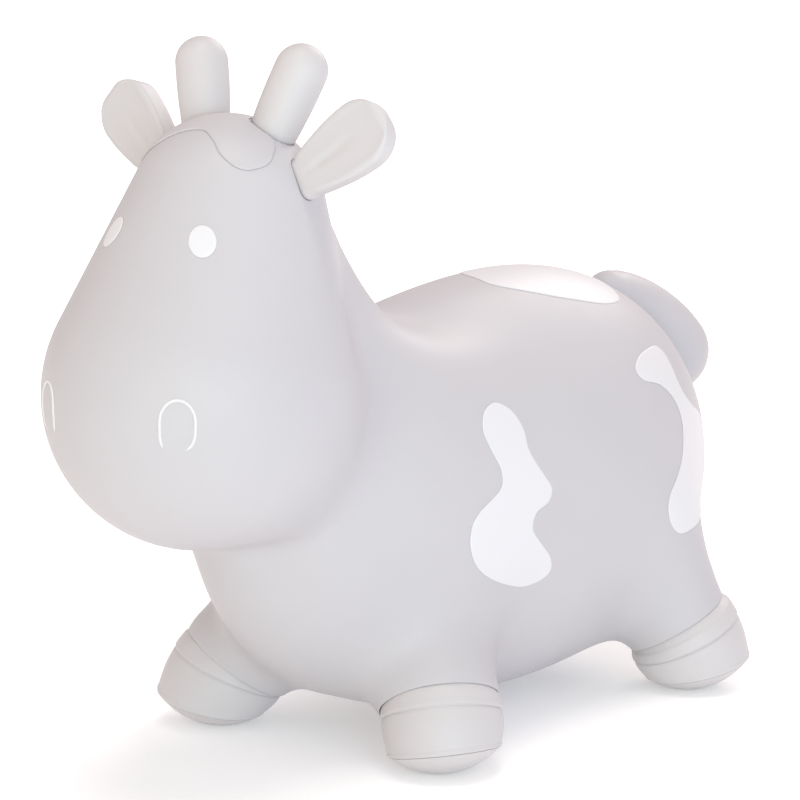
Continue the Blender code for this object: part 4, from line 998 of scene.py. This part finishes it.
def valveProfiles():
    # a flanged bush, and a plug with a domed head and a tapered stem
    def roundEdge(radius, height, size):
        return [(radius - size + size * math.cos(a), height - size + size * math.sin(a))
                for a in np.linspace(0, math.pi / 2, 7)]

    v = valveShape
    low, flange, bore = v["standOff"], v["flangeRadius"], v["boreRadius"]
    neck, depth, bevel, high = v["neckRadius"], v["neckDepth"], v["bevel"], low + v["flangeThickness"]
    under, base = (-depth + height for height in v["baseAt"])
    seat = [(0, under), (bore, under), (bore, -depth), (neck, -depth), (neck, low), (flange, low),
            *roundEdge(flange, high, v["flangeEdge"]), (bore + bevel, high), (bore, high - bevel),
            (bore, base), (0, base)]
    foot = high + v["seam"]
    end = foot - v["stem"]
    edge, shoulder, top = (foot + height for height in v["headHeight"])
    plug = [(0, end), (v["stemEnd"], end), (v["stemWide"], end + v["stemBevel"]), (v["stemTop"], foot),
            (v["plugRadius"], foot), *roundEdge(v["plugRadius"], edge, v["plugEdge"]),
            (v["headRadius"], shoulder), (0, top)]
    return seat, plug


valvePieces = (("valveSeat", "body", "valve_seat"), ("airPlug", "air_plug", "air_plug"))
for profile, (name, body, node) in zip(valveProfiles(), valvePieces):
    piece = turnedPiece(name, profile, valvePoint, valveNormal,
                        valveShape["segments"], valveShape["sharpAngle"])
    finished(piece, body, "valve_vinyl", node)
print("valve made")


# angles in degrees. The floor has its half sides and its drop, and a light has its turn from the camera's
# side, its rise, its watts and its colour
studio = {
    "floor": (6, 6, 0.0003), "azimuth": 37.70, "elevation": 11.05, "distance": 2.3,
    "lens": 162.7, "target": (0, -0.0196, 0.20943),
    "lightDistance": 3, "lightSize": 1.6, "lightTarget": (0, 0, 0.2),
    "lights": {"topBox": (0, 80, 28, (1.0, 0.95, 0.88)), "frontRightBox": (15, 10, 29, (0.51, 0.78, 1.0)),
               "frontLeftBox": (-15, 10, 12, (1.0, 0.95, 0.43)), "backBox": (150, 35, 23, (1.0, 0.96, 0.91))},
    "sky": {"Color": (1.0, 0.92, 0.925, 1), "Strength": 0.69},
    "paper": {"Base Color": (0.94, 0.94, 0.94, 1), "Roughness": 0.9, "Emission Color": (1, 1, 1, 1)},
    "glow": {"From Min": 0.6, "From Max": 2.5, "To Min": 0.22, "To Max": 0.75},
}

corners = np.array(((-1, -1, -1), (1, -1, -1), (1, 1, -1), (-1, 1, -1))) * studio["floor"]
floor = addMesh("floor", corners, [np.array([[0, 1, 2, 3]])])
paper, tree, shader = newMaterial("studioPaper", studio["paper"])
where, reach = addNode(tree, "TexCoord"), addNode(tree, "VectorMath")
glow = addNode(tree, "MapRange", studio["glow"])  # the floor glows more further out
reach.operation = "LENGTH"
wire(tree, (where, "Object", reach, 0), (reach, "Value", glow, "Value"),
     (glow, "Result", shader, "Emission Strength"))
floor.data.materials.append(paper)


def outFrom(turn, rise):
    # direction from the toy, turned from the camera's side and raised
    a, e = math.radians(studio["azimuth"] + turn), math.radians(rise)
    return Vector((math.sin(a) * math.cos(e), -math.cos(a) * math.cos(e), math.sin(e)))


def aimed(thing, target, way, distance):
    thing.location = Vector(target) + way * distance
    thing.rotation_euler = way.to_track_quat("Z", "Y").to_euler()


for name, (turn, rise, power, colour) in studio["lights"].items():
    light = bpy.data.lights.new(name, "AREA")
    light.shape, light.size, light.energy, light.color = "DISK", studio["lightSize"], power, colour
    aimed(placed(name, light), studio["lightTarget"], outFrom(turn, rise), studio["lightDistance"])

# the world lights the toy softly and shows as white paper
world = bpy.data.worlds.new("studioWorld")
world.use_nodes = True
sky = world.node_tree
soft = setInputs(sky.nodes["Background"], studio["sky"])
white = addNode(sky, "Background", {"Color": (1, 1, 1, 1)})
seen, choice = addNode(sky, "LightPath"), addNode(sky, "MixShader")
wire(sky, (seen, "Is Camera Ray", choice, "Fac"), (soft, "Background", choice, 1),
     (white, "Background", choice, 2), (choice, "Shader", sky.nodes["World Output"], "Surface"))
bpy.context.scene.world = world
bpy.context.scene.view_settings.view_transform = "Standard"

camera = placed("camera", bpy.data.cameras.new("camera"))
camera.data.lens, camera.data.sensor_width = studio["lens"], 36
aimed(camera, studio["target"], outFrom(0, studio["elevation"]), studio["distance"])
bpy.context.scene.camera = camera
print("studio set")
